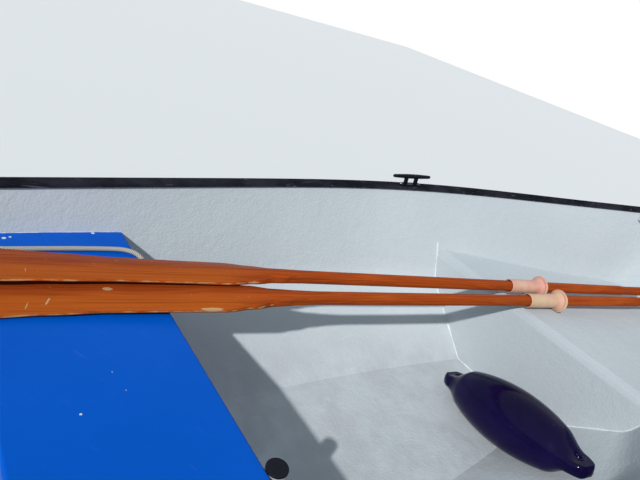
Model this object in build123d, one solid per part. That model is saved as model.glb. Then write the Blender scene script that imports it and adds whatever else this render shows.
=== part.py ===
from build123d import *
from math import asin, atan2, degrees, hypot, radians, sin, sqrt, tan
import os

# An open glassfibre rowing boat with its oars, fender and painter, standing on keel and bilge runners.
# Millimetres. +X to the bow, +Y to port, +Z up. X = 0 is midway along the boat, Z = 0 the ground.

# Hull moulding
skin = 6.0                      # side and bottom laminate
transom_thickness = 25.0
flange_width = 24.0             # gunwale flange, outboard of the topside
flange_thickness = 8.0
sheer_low_x = -1050.0           # the sheer is one arc, lowest here
sheer_low_z = 424.0
sheer_radius = 16835.0
loft_rise = 90.0                # the sections run this far above the sheer before they are trimmed
length_reach = 2200.0           # slabs that trim or divide the hull reach this far fore and aft
width_reach = 900.0             # and this far to each side
height_reach = 900.0            # and this high
stem_setback = 1.6              # how far the inside of the stem lies aft, in wall thicknesses
stem_reach = 0.85               # how far an outward offset carries the stem forward

# Sections of the outside of the hull, each in a plane that leans from the bottom to the sheer:
# x and z at the bottom, x at the sheer, half width of the flat floor, half width and rise of the
# chine, radius of the bilge, half width at the sheer.
stations = [
    (-1870, 78, -1933, 190, 455, 95, 120, 556),
    (-1310, 48, -1310, 225, 545, 85, 140, 640),
    (-808, 38, -808, 240, 583, 85, 150, 674),
    (-150, 35, -150, 236, 590, 95, 150, 680),
    (400, 35, 400, 215, 540, 140, 130, 637),
    (805, 36, 805, 175, 435, 180, 110, 554),
    (1230, 50, 1262, 108, 250, 215, 80, 370),
    (1480, 84, 1585, 58, 156, 222, 60, 204),
    (1680, 146, 1905, 14, 19, 260, 6, 24),
]
rowlock_x = stations[2][0]
rowlock_half = stations[2][7]
cleat_ahead = 9.0               # the cleats stand this far ahead of their station
cleat_x = stations[5][0] + cleat_ahead
cleat_half = stations[5][7]

# Rubber strip over the gunwale
strip_rise = 5.0                # rubber above the flange
strip_wall = 5.0                # rubber outboard of the flange
strip_drop = 24.0               # its outer lip, below the sheer
lip_wall = 6.0                  # how far it stands in over the inside of the hull
lip_drop = 3.0                  # and how far it hangs down there
cap_half = 470.0                # half length of the piece over the transom
cap_overhang = 6.0              # how far that piece comes forward of the lip

# Keel and bilge runners, all standing on Z = 0
keel_half = 15.0
keel_aft_x = -1854.0
keel_flat_end_x = 1175.0
keel_tip = (1600.0, 112.0)
keel_heel = (-60.0, 40.0)       # from the tip, inside the hull
runner_y = 300.0
runner_half = 13.0
runner_ends = (-1240.0, 640.0)
runner_flat = (-1090.0, 120.0)
runner_end_z = (42.0, 72.0)

# Mid thwart, the ledges that carry it and the capped post at its forward edge
thwart_front_x = -150.0
thwart_width = 368.0
thwart_top = 325.0
thwart_thickness = 28.0
thwart_round = 7.0
ledge_width = 24.0
ledge_depth = 32.0
ledge_overlap = 12.0
post_y = -175.0
post_radius = 21.0
post_wall = 2.5
post_gap = 0.1
post_cap_thickness = 4.0
post_cap_plug = 14.0

# Bow platform and stern bench, each a moulded top and bulkhead in one
platform_x = 931.0
platform_top = 344.0
bench_x = -1420.0
bench_top = 303.0
moulding_wall = 6.0
moulding_round = 26.0

# Breasthook and quarter knees
knee_top_drop = 12.0
knee_thickness = 22.0
breasthook_x = 1695.0
breasthook_hollow = 110.0       # radius of its hollow, whose centre lies aft of it
breasthook_hollow_back = 50.0
knee_leg = 190.0

# Rowlocks
rowlock_out = 12.0              # centre of the shank, outboard of the topside
shank_radius = 6.35
shank_clearance = 0.05
socket_wall = 3.2
socket_plate = (96.0, 32.0, 4.0)
block_size = (190.0, 34.0, 26.0)
block_sink = 10.0               # the block is cut from a blank that starts this far below the strip
socket_length = 66.0
horn_radius = 6.5
horn_inside = 29.0
horn_height = 62.0
horn_base_rise = 9.0
collar_radius = 13.0
collar_height = 4.0
collar_gap = 0.2
shank_length = 78.0

# Horn cleats
cleat_out = 10.0
cleat_lean = -15.0              # follows the gunwale inwards
cleat_length = 152.0
cleat_base = (86.0, 24.0, 5.0)
cleat_bar_z = 33.0
cleat_bar_radius = 8.0
cleat_tip_radius = 5.0
cleat_leg_x = 20.0
cleat_leg_radius = 7.5

# Eyes, drain and transom board
eye_rod = 5.0
bow_eye_z = 300.0
bow_eye_half = 26.0
bow_eye_reach = 34.0
stern_eye_y = 360.0
stern_eye_z = 372.0
stern_eye_half = 22.0
stern_eye_reach = 30.0
side_eye_x = -690.0
side_eye_z = 352.0
side_eye_plate = (58.0, 26.0, 4.0)
side_eye_radius = 14.0
drain_z = 100.0
drain_radius = 15.0
board_half = 150.0
board_thickness = 18.0

# Oars: one shape, placed twice. Stations along it are measured from the blade's tip.
oar_length = 2180.0
shaft_radius = 17.7
shaft_start = 500.0             # the round shaft begins inside the blade
shaft_start_radius = 8.0
throat_at = 600.0
throat_radius = 15.0
neck_at = 700.0
grip_radius = 16.5
grip_waist = 15.0
grip_end_radius = 12.0
grip_length = 135.0
grip_shoulder = 20.0
grip_end_round = 12.0
sleeve_end_at = 1662.0
sleeve_length = 126.0
sleeve_radius = 22.5
sleeve_bevel = 1.5
sleeve_rim_radius = 37.5
sleeve_rim_width = 13.0
sleeve_inner_ring = 3.5         # its inner ring
sleeve_inner_ring_drop = 1.5
sleeve_groove = 1.5             # and the groove between the two
sleeve_foot = 9.0               # the rim's foot spreads this far along the sleeve
sleeve_foot_hollow = 3.0
# Blade sections: distance from the tip, half width, half thickness at the edge and on the spine.
blade_sections = [
    (0, 68, 3.5, 6.5),
    (50, 75.5, 3.5, 7.5),
    (150, 66.5, 4.0, 9.5),
    (270, 58, 4.0, 11.5),
    (400, 55.5, 4.5, 13.0),
    (520, 55, 5.0, 15.0),
    (590, 43, 6.0, 16.0),
    (650, 28, 6.0, 16.8),
    (710, 20, 3.0, 17.5),
    (770, 17, 2.0, 17.2),
]
# How each oar lies: x and y of the blade's tip, height of the tip above the thwart, heading from the
# bow and roll about its length, in degrees. Both rest on the rims of their sleeves on the platform.
stowed_oars = {
    "starboard": (-530.5, 401.0, 6.6, -13.6, 0.4),
    "port": (-526.5, 479.4, 30.6, -13.53, -7.2),
}
oar_rest_gap = 0.1

# Fender, lying on the floor and up the starboard side ahead of the thwart
fender_overall = 520.0
fender_length = 470.0           # of its round body, without the flat ends
fender_radius = 89.0
fender_nose_radius = 44.0       # where the body's long curve ends
fender_nose_round = 24.0
fender_tab_half = 43.0          # half width of the flat ends
fender_tab_thickness = 34.0
fender_tab_round = 12.0
fender_hole_radius = 11.0
fender_middle = (719.0, -169.4, 151.1)
fender_turn = -101.4
fender_lean = 16.4

# Painter: 12 mm braided rope from the side eye over the thwart to a coil under it
rope_radius = 6.0
coil_middle = (-330.0, 132.0)
coil_turn_radius = 66.0
coil_half_width = 18.0
coil_height = 36.0
coil_lift = 1.0
rope_route = [
    (-685.8, 603.2, 352.0),
    (-640.0, 601.0, 348.0),
    (-600.0, 592.0, 340.0),
    (-552.0, 581.0, 335.0),
    (-502.0, 572.0, 332.0),
    (-445.0, 565.5, 331.4),
    (-385.0, 561.0, 331.4),
    (-322.0, 556.5, 331.4),
    (-264.0, 551.0, 331.4),
    (-214.0, 544.5, 331.8),
    (-175.0, 534.0, 334.0),
    (-147.0, 512.0, 331.5),
    (-135.0, 484.0, 314.0),
    (-131.0, 462.0, 284.0),
    (-132.0, 440.0, 250.0),
    (-140.0, 408.0, 212.0),
    (-158.0, 368.0, 176.0),
    (-178.0, 325.0, 140.0),
    (-198.0, 284.0, 106.0),
    (-222.0, 246.0, 78.0),
    (-252.0, 214.0, 62.0),
    (-288.0, 199.0, 60.0),
]

out = "parts"
os.makedirs(out, exist_ok=True)
pieces = {}


def sheer_z(x, above=0.0):
    radius = sheer_radius - above
    return sheer_low_z + sheer_radius - sqrt(radius ** 2 - (x - sheer_low_x) ** 2)


def cross(p, a, q, b):
    """Where the line through p along a meets the line through q along b."""
    det = a[0] * b[1] - a[1] * b[0]
    t = ((q[0] - p[0]) * b[1] - (q[1] - p[1]) * b[0]) / det
    return (p[0] + a[0] * t, p[1] + a[1] * t)


def unit(a):
    length = hypot(*a)
    return (a[0] / length, a[1] / length)


def hull_section(station, inset):
    """One closed section; inset moves its skin inwards, or outwards where it is negative."""
    x_low, z_low, x_high, floor_half, chine_half, chine_rise, bilge, sheer_half = station
    stem = station is stations[-1]
    transom = station is stations[0]
    shift = 0.0
    if stem:
        shift = -inset * (stem_setback if inset > 0 else stem_reach)
    if transom and inset > 0:
        shift = transom_thickness + inset - skin
    spread = 0.35 if stem and inset < 0 else 1.0
    rise = sheer_z(x_high) - z_low
    lean = x_high - x_low
    tall = hypot(rise, lean)
    low = unit((chine_half - floor_half, chine_rise))
    high = unit((sheer_half - chine_half, tall - chine_rise))
    step = inset * spread
    a = (floor_half, step)
    b = (floor_half - low[1] * step, low[0] * step)
    c = (sheer_half - high[1] * step, tall + high[0] * step)
    corner = cross(a, (1, 0), b, low)
    chine = cross(b, low, c, high)
    top_v = tall + loft_rise
    top = cross((0, top_v), (1, 0), c, high)
    back = unit((corner[0] - chine[0], corner[1] - chine[1]))
    cosine = back[0] * high[0] + back[1] * high[1]
    half_sine = sqrt((1 - cosine) / 2)
    half_cosine = sqrt((1 + cosine) / 2)
    radius = max(bilge - step, 2.0)
    reach = radius * half_cosine / half_sine
    first = (chine[0] + back[0] * reach, chine[1] + back[1] * reach)
    last = (chine[0] + high[0] * reach, chine[1] + high[1] * reach)
    inward = unit((back[0] + high[0], back[1] + high[1]))
    depth = radius / half_sine - radius
    middle = (chine[0] + inward[0] * depth, chine[1] + inward[1] * depth)

    def at(u, v):
        return (x_low + shift + lean * v / tall, u, z_low + rise * v / tall)

    port = [at(*p) for p in (top, last, middle, first, corner)]
    starboard = [at(-p[0], p[1]) for p in (top, last, middle, first, corner)]
    edges = [
        Line(port[0], port[1]),
        ThreePointArc(port[1], port[2], port[3]),
        Line(port[3], port[4]),
        Line(port[4], starboard[4]),
        Line(starboard[4], starboard[3]),
        ThreePointArc(starboard[3], starboard[2], starboard[1]),
        Line(starboard[1], starboard[0]),
        Line(starboard[0], port[0]),
    ]
    return make_face(edges)


def hull_form(inset):
    """The whole hull as a solid, to the outside of the skin or inset from it."""
    return loft([hull_section(station, inset) for station in stations])


def sheer_band(low, high):
    """A slab that follows the sheer, between two heights above it."""
    reach = length_reach
    middle_x = 0.0
    lower = ThreePointArc((-reach, 0, sheer_z(-reach, low)), (middle_x, 0, sheer_z(middle_x, low)),
                          (reach, 0, sheer_z(reach, low)))
    upper = ThreePointArc((-reach, 0, sheer_z(-reach, high)), (middle_x, 0, sheer_z(middle_x, high)),
                          (reach, 0, sheer_z(reach, high)))
    ends = [Line(lower @ 1, upper @ 1), Line(upper @ 0, lower @ 0)]
    face = make_face([lower, ends[0], upper, ends[1]])
    return extrude(face, amount=width_reach, dir=(0, 1, 0), both=True)


def slab(x0, x1, y0, y1, z0, z1):
    return Pos((x0 + x1) / 2, (y0 + y1) / 2, (z0 + z1) / 2) * Box(x1 - x0, y1 - y0, z1 - z0)


def side_profile(points, half):
    """A flat outline in X and Z, given a thickness across the boat."""
    face = make_face(Polyline(*[(x, 0, z) for x, z in points], close=True))
    return extrude(face, amount=half, dir=(0, 1, 0), both=True)


# Hull
outside = hull_form(0.0)
inside = hull_form(skin)
wide = hull_form(-flange_width)
below_sheer = sheer_band(-sheer_low_z - 100, 0)
hull = (outside & below_sheer) + (wide & sheer_band(-flange_thickness, 0)) - inside

# Rubber gunwale strip, cut at the stem and over the transom's corners
strip_outside = hull_form(-flange_width - strip_wall)
lip_inside = hull_form(skin + lip_wall)
strip = (strip_outside & sheer_band(-strip_drop, strip_rise)) - (wide & below_sheer) - lip_inside
strip += (inside & sheer_band(-lip_drop, 0)) - lip_inside
cap_front_x = stations[0][2] + transom_thickness + lip_wall + cap_overhang
transom_zone = slab(-length_reach, cap_front_x, -cap_half, cap_half, 0, height_reach)
pieces["transom_cap"] = strip & transom_zone
side_strips = strip - transom_zone
port_half = slab(-length_reach, length_reach, 0, width_reach, 0, height_reach)
pieces["gunwale_strip_port"] = side_strips & port_half
starboard_half = slab(-length_reach, length_reach, -width_reach, 0, 0, height_reach)
pieces["gunwale_strip_starboard"] = side_strips & starboard_half

# Keel with its skeg, and the bilge runners
keel_outline = [
    (keel_aft_x, 0), (keel_flat_end_x, 0), keel_tip, (keel_tip[0] + keel_heel[0], keel_tip[1] + keel_heel[1]),
    (keel_aft_x, keel_tip[1])]
pieces["keel"] = side_profile(keel_outline, keel_half) - outside
runner_outline = [
    (runner_ends[0], runner_end_z[0]), (runner_flat[0], 0), (runner_flat[1], 0),
    (runner_ends[1], runner_end_z[1]), (runner_ends[1], 150), (runner_ends[0], 150)]
runner = side_profile(runner_outline, runner_half)
for side, name in ((1, "bilge_runner_port"), (-1, "bilge_runner_starboard")):
    pieces[name] = (Pos(0, side * runner_y, 0) * runner) - outside

# Mid thwart and its ledges
thwart_back_x = thwart_front_x - thwart_width
plank = slab(thwart_back_x, thwart_front_x, -width_reach, width_reach, thwart_top - thwart_thickness,
             thwart_top)
plank = fillet(plank.edges().filter_by(Axis.Y).group_by(Axis.Z)[-1], thwart_round)
pieces["thwart"] = plank & inside
ledge_zone = slab(thwart_back_x - ledge_overlap, thwart_front_x + ledge_overlap, 0, width_reach,
                  thwart_top - thwart_thickness - ledge_depth, thwart_top - thwart_thickness)
ledge = (ledge_zone & inside) - hull_form(skin + ledge_width)
pieces["thwart_ledge_port"] = ledge
pieces["thwart_ledge_starboard"] = mirror(ledge, about=Plane.XZ)

# Capped post
post_x = thwart_front_x + post_radius + post_gap
post_top = thwart_top - post_cap_thickness
post_solid = Pos(post_x, post_y, 0) * Cylinder(
    post_radius, post_top, align=(Align.CENTER, Align.CENTER, Align.MIN))
post_hole = Pos(post_x, post_y, 0) * Cylinder(post_radius - post_wall, post_top + 1,
                                             align=(Align.CENTER, Align.CENTER, Align.MIN))
pieces["post"] = (post_solid - post_hole) & inside
cap_disc = Pos(post_x, post_y, post_top) * Cylinder(post_radius, post_cap_thickness,
                                                    align=(Align.CENTER, Align.CENTER, Align.MIN))
cap_disc = fillet(cap_disc.edges().group_by(Axis.Z)[-1], 2.0)
cap_plug = Pos(post_x, post_y, post_top - post_cap_plug) * Cylinder(
    post_radius - post_wall, post_cap_plug, align=(Align.CENTER, Align.CENTER, Align.MIN))
pieces["post_cap"] = cap_disc + cap_plug


def moulded_seat(face_x, top_z, direction, far_x):
    """A seat top and its bulkhead in one moulding with a rounded corner, fitted inside the hull."""
    outer_r = moulding_round
    inner_r = moulding_round - moulding_wall
    w = moulding_wall * direction
    corner = (face_x + outer_r * direction, top_z - outer_r)
    diag = sin(radians(45))
    low = 20.0
    edges = [
        Line((face_x, 0, low), (face_x, 0, corner[1])),
        ThreePointArc((face_x, 0, corner[1]),
                      (corner[0] - outer_r * diag * direction, 0, corner[1] + outer_r * diag),
                      (corner[0], 0, top_z)),
        Line((corner[0], 0, top_z), (far_x, 0, top_z)),
        Line((far_x, 0, top_z), (far_x, 0, top_z - moulding_wall)),
        Line((far_x, 0, top_z - moulding_wall), (corner[0], 0, top_z - moulding_wall)),
        ThreePointArc((corner[0], 0, top_z - moulding_wall),
                      (corner[0] - inner_r * diag * direction, 0, corner[1] + inner_r * diag),
                      (face_x + w, 0, corner[1])),
        Line((face_x + w, 0, corner[1]), (face_x + w, 0, low)),
        Line((face_x + w, 0, low), (face_x, 0, low)),
    ]
    return extrude(make_face(edges), amount=width_reach, dir=(0, 1, 0), both=True) & inside


pieces["bow_platform"] = moulded_seat(platform_x, platform_top, 1, length_reach)
pieces["stern_bench"] = moulded_seat(bench_x, bench_top, -1, -length_reach)

# Breasthook and quarter knees
knee_band = sheer_band(-knee_top_drop - knee_thickness, -knee_top_drop)
hook_zone = slab(breasthook_x, length_reach, -width_reach, width_reach, 0, height_reach)
hook_hollow = Pos(breasthook_x - breasthook_hollow_back, 0, 0) * Cylinder(breasthook_hollow, 2 * height_reach)
pieces["breasthook"] = (inside & knee_band & hook_zone) - hook_hollow
aft_inner_x = stations[0][2] + transom_thickness
corner_y = stations[0][7]
knee_aft_x = aft_inner_x - 30
knee_front_x = aft_inner_x + knee_leg
knee_face = make_face(Polyline((knee_aft_x, corner_y + 40), (knee_front_x, corner_y + 40),
                               (knee_front_x, corner_y - 25), (knee_aft_x, corner_y - knee_leg), close=True))
knee = extrude(knee_face, amount=height_reach, dir=(0, 0, 1)) & inside & knee_band
pieces["quarter_knee_port"] = knee
pieces["quarter_knee_starboard"] = mirror(knee, about=Plane.XZ)

# Rowlock blocks and sockets, and the rowlocks that swivel in them
rowlock_y = rowlock_half + rowlock_out
strip_top = sheer_z(rowlock_x, strip_rise)
block_top = strip_top + block_size[2]
socket_top = block_top + socket_plate[2]
above_strip = sheer_band(strip_rise, 400)
block = slab(rowlock_x - block_size[0] / 2, rowlock_x + block_size[0] / 2, rowlock_y - block_size[1] / 2,
             rowlock_y + block_size[1] / 2, strip_top - block_sink, block_top)
block = fillet(block.edges().filter_by(Axis.Z), 8) & above_strip
socket_outer = shank_radius + shank_clearance + socket_wall
tube = Pos(rowlock_x, rowlock_y, socket_top - socket_length) * Cylinder(
    socket_outer, socket_length, align=(Align.CENTER, Align.CENTER, Align.MIN))
plate = slab(rowlock_x - socket_plate[0] / 2, rowlock_x + socket_plate[0] / 2,
             rowlock_y - socket_plate[1] / 2, rowlock_y + socket_plate[1] / 2, block_top, socket_top)
plate = fillet(plate.edges().filter_by(Axis.Z), 12)
bore = Pos(rowlock_x, rowlock_y, 0) * Cylinder(
    shank_radius + shank_clearance, 900, align=(Align.CENTER, Align.CENTER, Align.MIN))
socket = (plate + tube) - bore
pieces["rowlock_block_port"] = block - tube
pieces["rowlock_socket_port"] = socket


def rowlock_shape():
    """Round horns on a shank, with a collar that rests on the socket plate; shank axis at the origin."""
    base = collar_height + horn_base_rise + horn_radius
    radius = horn_inside + horn_radius
    rise = base + radius
    left = Line((0, -radius - 5, rise + horn_height - 26), (0, -radius, rise))
    bowl = ThreePointArc((0, -radius, rise), (0, 0, base), (0, radius, rise))
    right = Line((0, radius, rise), (0, radius + 5, rise + horn_height - 26))
    path = Wire([left.edge(), bowl.edge(), right.edge()])
    start = Plane(origin=left @ 0, z_dir=left % 0)
    horns = sweep(start * Circle(horn_radius), path=path, transition=Transition.ROUND)
    for tip in (left @ 0, right @ 1):
        horns += Pos(tip) * Sphere(horn_radius + 1.5)
    shank = Pos(0, 0, collar_height + 1 - shank_length) * Cylinder(
        shank_radius, shank_length, align=(Align.CENTER, Align.CENTER, Align.MIN))
    collar = Cylinder(collar_radius, collar_height, align=(Align.CENTER, Align.CENTER, Align.MIN))
    neck = Pos(0, 0, collar_height) * Cone(collar_radius - 2, shank_radius + 1, base - collar_height,
                                           align=(Align.CENTER, Align.CENTER, Align.MIN))
    return horns + shank + collar + neck


pieces["rowlock_port"] = Pos(rowlock_x, rowlock_y, socket_top + collar_gap) * rowlock_shape()
for name in ("rowlock_block", "rowlock_socket", "rowlock"):
    pieces[name + "_starboard"] = mirror(pieces[name + "_port"], about=Plane.XZ)
socket_way = tube + mirror(tube, about=Plane.XZ)
pieces["gunwale_strip_port"] = pieces["gunwale_strip_port"] - socket_way
pieces["gunwale_strip_starboard"] = pieces["gunwale_strip_starboard"] - socket_way
hull = hull - socket_way

# Horn cleats on the gunwale near the bow
cleat_z = sheer_z(cleat_x, strip_rise)
cleat_y = cleat_half + cleat_out
foot = slab(-cleat_base[0] / 2, cleat_base[0] / 2, -cleat_base[1] / 2, cleat_base[1] / 2, -6, cleat_base[2])
foot = fillet(foot.edges().filter_by(Axis.Z), 11)
tip_x = cleat_length / 2
bar_half = [
    (0, cleat_bar_radius), (cleat_leg_x, cleat_bar_radius), (tip_x - 6, cleat_tip_radius + 0.8),
    (tip_x - 2, cleat_tip_radius - 0.6), (tip_x, cleat_tip_radius - 3)]
bar_points = [(-x, r) for x, r in reversed(bar_half)] + bar_half[1:]
horn = revolve(make_face(Polyline((-tip_x, 0), *bar_points, (tip_x, 0), close=True)), Axis.X)
cleat_bar = Pos(0, 0, cleat_bar_z) * horn
for x in (-cleat_leg_x, cleat_leg_x):
    cleat_bar += Pos(x, 0, cleat_base[2] - 1) * Cylinder(
        cleat_leg_radius, cleat_bar_z - cleat_base[2] + 1, align=(Align.CENTER, Align.CENTER, Align.MIN))
cleat_pitch = degrees(asin((cleat_x - sheer_low_x) / sheer_radius))
for side, name in ((1, "cleat_port"), (-1, "cleat_starboard")):
    place = Pos(cleat_x, side * cleat_y, cleat_z) * Rot(0, 0, side * cleat_lean) * Rot(0, -cleat_pitch, 0)
    pieces[name] = ((place * foot) & above_strip) + place * cleat_bar


def staple(half, reach):
    """A round rod bent to a U in the X Y plane, its legs running back along -X."""
    turn = min(half, reach * 0.8)
    legs = 60.0
    path = FilletPolyline((-legs, -half, 0), (reach, -half, 0), (reach, half, 0), (-legs, half, 0),
                          radius=turn * 0.7)
    return sweep(Plane(origin=(-legs, -half, 0), z_dir=(1, 0, 0)) * Circle(eye_rod), path=path)


# Bow eye through the stem, stern eyes inside the transom
stem_low = stations[-1]
stem_slope = (stem_low[2] - stem_low[0]) / (sheer_z(stem_low[2]) - stem_low[1])
bow_eye_x = stem_low[0] + stem_slope * (bow_eye_z - stem_low[1])
bow_eye = Pos(bow_eye_x, 0, bow_eye_z) * Rot(90, 0, 0) * staple(bow_eye_half, bow_eye_reach)
pieces["bow_eye"] = bow_eye - outside
transom_slope = (stations[0][2] - stations[0][0]) / (sheer_z(stations[0][2]) - stations[0][1])
transom_face_x = stations[0][0] + transom_slope * (stern_eye_z - stations[0][1])
stern_eye_place = Pos(transom_face_x + transom_thickness, stern_eye_y, stern_eye_z)
stern_eye = stern_eye_place * staple(stern_eye_half, stern_eye_reach)
stern_eye = stern_eye & inside
pieces["stern_eye_port"] = stern_eye
pieces["stern_eye_starboard"] = mirror(stern_eye, about=Plane.XZ)

# Drain plug low in the transom, and the board inside it
drain_x = stations[0][0] + transom_slope * (drain_z - stations[0][1])
drain_lean = 90 + degrees(atan2(transom_slope, 1))
drain = Pos(drain_x, 0, drain_z) * Rot(0, drain_lean, 0) * Cylinder(drain_radius, 14)
pieces["drain_plug"] = drain - outside
board_zone = slab(-length_reach, 0, -board_half, board_half, bench_top, height_reach)
board = (inside & board_zone) - Pos(board_thickness, 0, 0) * inside
pieces["transom_board"] = board & sheer_band(-sheer_low_z, -knee_top_drop)

# Side eye on the port side, aft of the thwart
eye_zone = slab(side_eye_x - side_eye_plate[0] / 2, side_eye_x + side_eye_plate[0] / 2, 0, width_reach,
                side_eye_z - side_eye_plate[1] / 2, side_eye_z + side_eye_plate[1] / 2)
eye_plate = (eye_zone & inside) - hull_form(skin + side_eye_plate[2])
eye_face_y = eye_plate.bounding_box().min.Y
eye_ring = Pos(side_eye_x, eye_face_y - 4, side_eye_z) * Rot(0, 0, 0) * Torus(side_eye_radius, 4)
pieces["side_eye"] = eye_plate + (eye_ring & hull_form(skin + side_eye_plate[2] - 0.5))

# Oars
oar_profile = [
    (shaft_start, 0), (shaft_start, shaft_start_radius), (throat_at, throat_radius), (neck_at, shaft_radius),
    (oar_length - grip_length - grip_shoulder, shaft_radius), (oar_length - grip_length, grip_waist),
    (oar_length - grip_end_round, grip_radius), (oar_length, grip_end_radius), (oar_length, 0)]
shaft = revolve(make_face(Polyline(*oar_profile, close=True)), Axis.X)


def blade_section(x, half, edge, middle):
    """A flat lens with short upright edges."""
    return make_face([
        ThreePointArc((x, -half, -edge), (x, 0, -middle), (x, half, -edge)),
        Line((x, half, -edge), (x, half, edge)),
        ThreePointArc((x, half, edge), (x, 0, middle), (x, -half, edge)),
        Line((x, -half, edge), (x, -half, -edge)),
    ])


oar = shaft + loft([blade_section(*row) for row in blade_sections])
sleeve_start = sleeve_end_at - sleeve_length
rim_start = sleeve_end_at - sleeve_rim_width
ring_width = sleeve_rim_width - sleeve_inner_ring - sleeve_groove
ring_foot = sleeve_rim_radius - ring_width / 2
rim_shoulder = sleeve_rim_radius - sleeve_inner_ring_drop
groove_start = rim_start + sleeve_inner_ring
sleeve_face = make_face([
    Polyline((sleeve_end_at, ring_foot), (sleeve_end_at, 0), (sleeve_start, 0),
             (sleeve_start, sleeve_radius - sleeve_bevel), (sleeve_start + sleeve_bevel, sleeve_radius),
             (rim_start - sleeve_foot, sleeve_radius)),
    SagittaArc((rim_start - sleeve_foot, sleeve_radius), (rim_start, rim_shoulder), -sleeve_foot_hollow),
    Polyline((rim_start, rim_shoulder), (groove_start, rim_shoulder), (groove_start, ring_foot),
             (groove_start + sleeve_groove, ring_foot)),
    ThreePointArc((groove_start + sleeve_groove, ring_foot),
                  (sleeve_end_at - ring_width / 2, sleeve_rim_radius),
                  (sleeve_end_at, ring_foot)),
])
sleeve = revolve(sleeve_face, Axis.X) - shaft


def lay_oar(shape, x, y, lift, heading, roll):
    """Lay a shape made along +X from the blade's tip on the thwart and the bow platform."""
    tip_z = thwart_top + lift
    rise = platform_top + oar_rest_gap + sleeve_rim_radius - tip_z
    pitch = degrees(asin(rise / (sleeve_end_at - ring_width / 2)))
    return Pos(x, y, tip_z) * Rot(0, 0, heading) * Rot(0, -pitch, 0) * Rot(roll, 0, 0) * shape


for side, lie in stowed_oars.items():
    pieces["oar_" + side] = lay_oar(oar, *lie)
    pieces["oar_sleeve_" + side] = lay_oar(sleeve, *lie)

# Fender
body_half = fender_length / 2
nose = (body_half - fender_nose_round, fender_nose_radius)
fender_face = make_face([
    ThreePointArc((-nose[0], nose[1]), (0, fender_radius), nose),
    ThreePointArc(nose, (body_half - fender_nose_round / 3, fender_nose_radius * 0.7), (body_half, 0)),
    Line((body_half, 0), (-body_half, 0)),
    ThreePointArc((-body_half, 0), (-body_half + fender_nose_round / 3, fender_nose_radius * 0.7),
                  (-nose[0], nose[1])),
])
fender = revolve(fender_face, Axis.X)
tab_x = fender_overall / 2 - fender_tab_half
tab = Box(tab_x, fender_tab_half * 2, fender_tab_thickness, align=(Align.MIN, Align.CENTER, Align.CENTER))
tab_cut = slab(tab_x, fender_length, -width_reach, width_reach, -height_reach, height_reach)
tab = Pos(tab_x / 2, 0, 0) * tab - tab_cut
tab += Pos(tab_x, 0, 0) * Cylinder(fender_tab_half, fender_tab_thickness)
tab = fillet(tab.faces().filter_by(Axis.Z).edges(), fender_tab_round)
hole = Pos(tab_x, 0, 0) * Cylinder(fender_hole_radius, fender_radius)
fender += tab + mirror(tab, about=Plane.YZ)
fender -= hole + mirror(hole, about=Plane.YZ)
pieces["fender"] = Pos(*fender_middle) * Rot(0, 0, fender_turn) * Rot(0, -fender_lean, 0) * fender


def cord_tube(route, radius):
    """A tube of straight runs joined by tangent arcs, each as large as its two runs allow."""
    points = [Vector(*p) for p in route]
    runs = [(b - a).length for a, b in zip(points, points[1:])]
    radii = []
    for i in range(1, len(points) - 1):
        turn = (points[i] - points[i - 1]).get_angle(points[i + 1] - points[i])
        radii.append(0.45 * min(runs[i - 1], runs[i]) / tan(radians(turn) / 2))
    path = FilletPolyline(*points, radius=radii)
    tube = sweep(Plane(origin=path @ 0, z_dir=path % 0) * Circle(radius), path=path)
    print("cord runs", [round(r) for r in runs], "radii", [round(r) for r in radii])
    print("cord length", round(path.length))
    return tube, path


coil_half = make_face(Pos(coil_turn_radius, coil_height / 2) * RectangleRounded(
    coil_half_width * 2, coil_height, 8))
coil = revolve(Rot(90, 0, 0) * coil_half, Axis.Z)
floor_z = stations[3][1] + skin
pieces["painter_coil"] = Pos(coil_middle[0], coil_middle[1], floor_z + coil_lift) * coil
rope, rope_path = cord_tube(rope_route, rope_radius)
pieces["painter"] = rope

pieces["hull"] = hull
for name, shape in pieces.items():
    solids = shape.solids()
    result = solids[0] if len(solids) == 1 else Compound(children=list(solids))
    export_step(result, os.path.join(out, name + ".step"))
    box = shape.bounding_box()
    print(name, len(solids), "solids", round(shape.volume / 1e3), "cm3", [round(v, 1) for v in box.min],
          [round(v, 1) for v in box.max])
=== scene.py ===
"""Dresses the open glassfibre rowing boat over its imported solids.

Metres, in the boat's own frame: +X to the bow, +Y to port, +Z up, the ground at Z = 0. Each sub-assembly
is a class that builds its meshes from a few sizes, and each finish is a frozen dataclass.
"""
import logging
import math
from dataclasses import dataclass
from enum import Enum
from typing import Any, Callable, Iterable, Sequence

import bmesh
import bpy
from mathutils import Matrix, Vector, noise
from mathutils.bvhtree import BVHTree


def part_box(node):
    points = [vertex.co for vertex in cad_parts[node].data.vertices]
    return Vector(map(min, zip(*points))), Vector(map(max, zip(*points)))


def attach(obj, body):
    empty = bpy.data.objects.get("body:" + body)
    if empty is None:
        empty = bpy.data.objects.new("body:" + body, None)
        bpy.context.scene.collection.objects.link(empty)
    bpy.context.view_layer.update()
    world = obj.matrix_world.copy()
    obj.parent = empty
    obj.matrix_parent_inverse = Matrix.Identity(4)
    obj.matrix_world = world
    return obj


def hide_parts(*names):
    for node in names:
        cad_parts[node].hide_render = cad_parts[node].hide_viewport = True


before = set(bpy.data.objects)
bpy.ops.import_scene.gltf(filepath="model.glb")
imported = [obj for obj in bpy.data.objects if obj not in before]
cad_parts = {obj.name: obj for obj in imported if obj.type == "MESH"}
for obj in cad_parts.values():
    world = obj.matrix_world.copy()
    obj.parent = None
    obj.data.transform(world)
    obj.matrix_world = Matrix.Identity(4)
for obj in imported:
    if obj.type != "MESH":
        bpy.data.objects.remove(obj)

LOG = logging.getLogger("rowing_boat")
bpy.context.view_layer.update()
BOAT = "boat"
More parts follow.
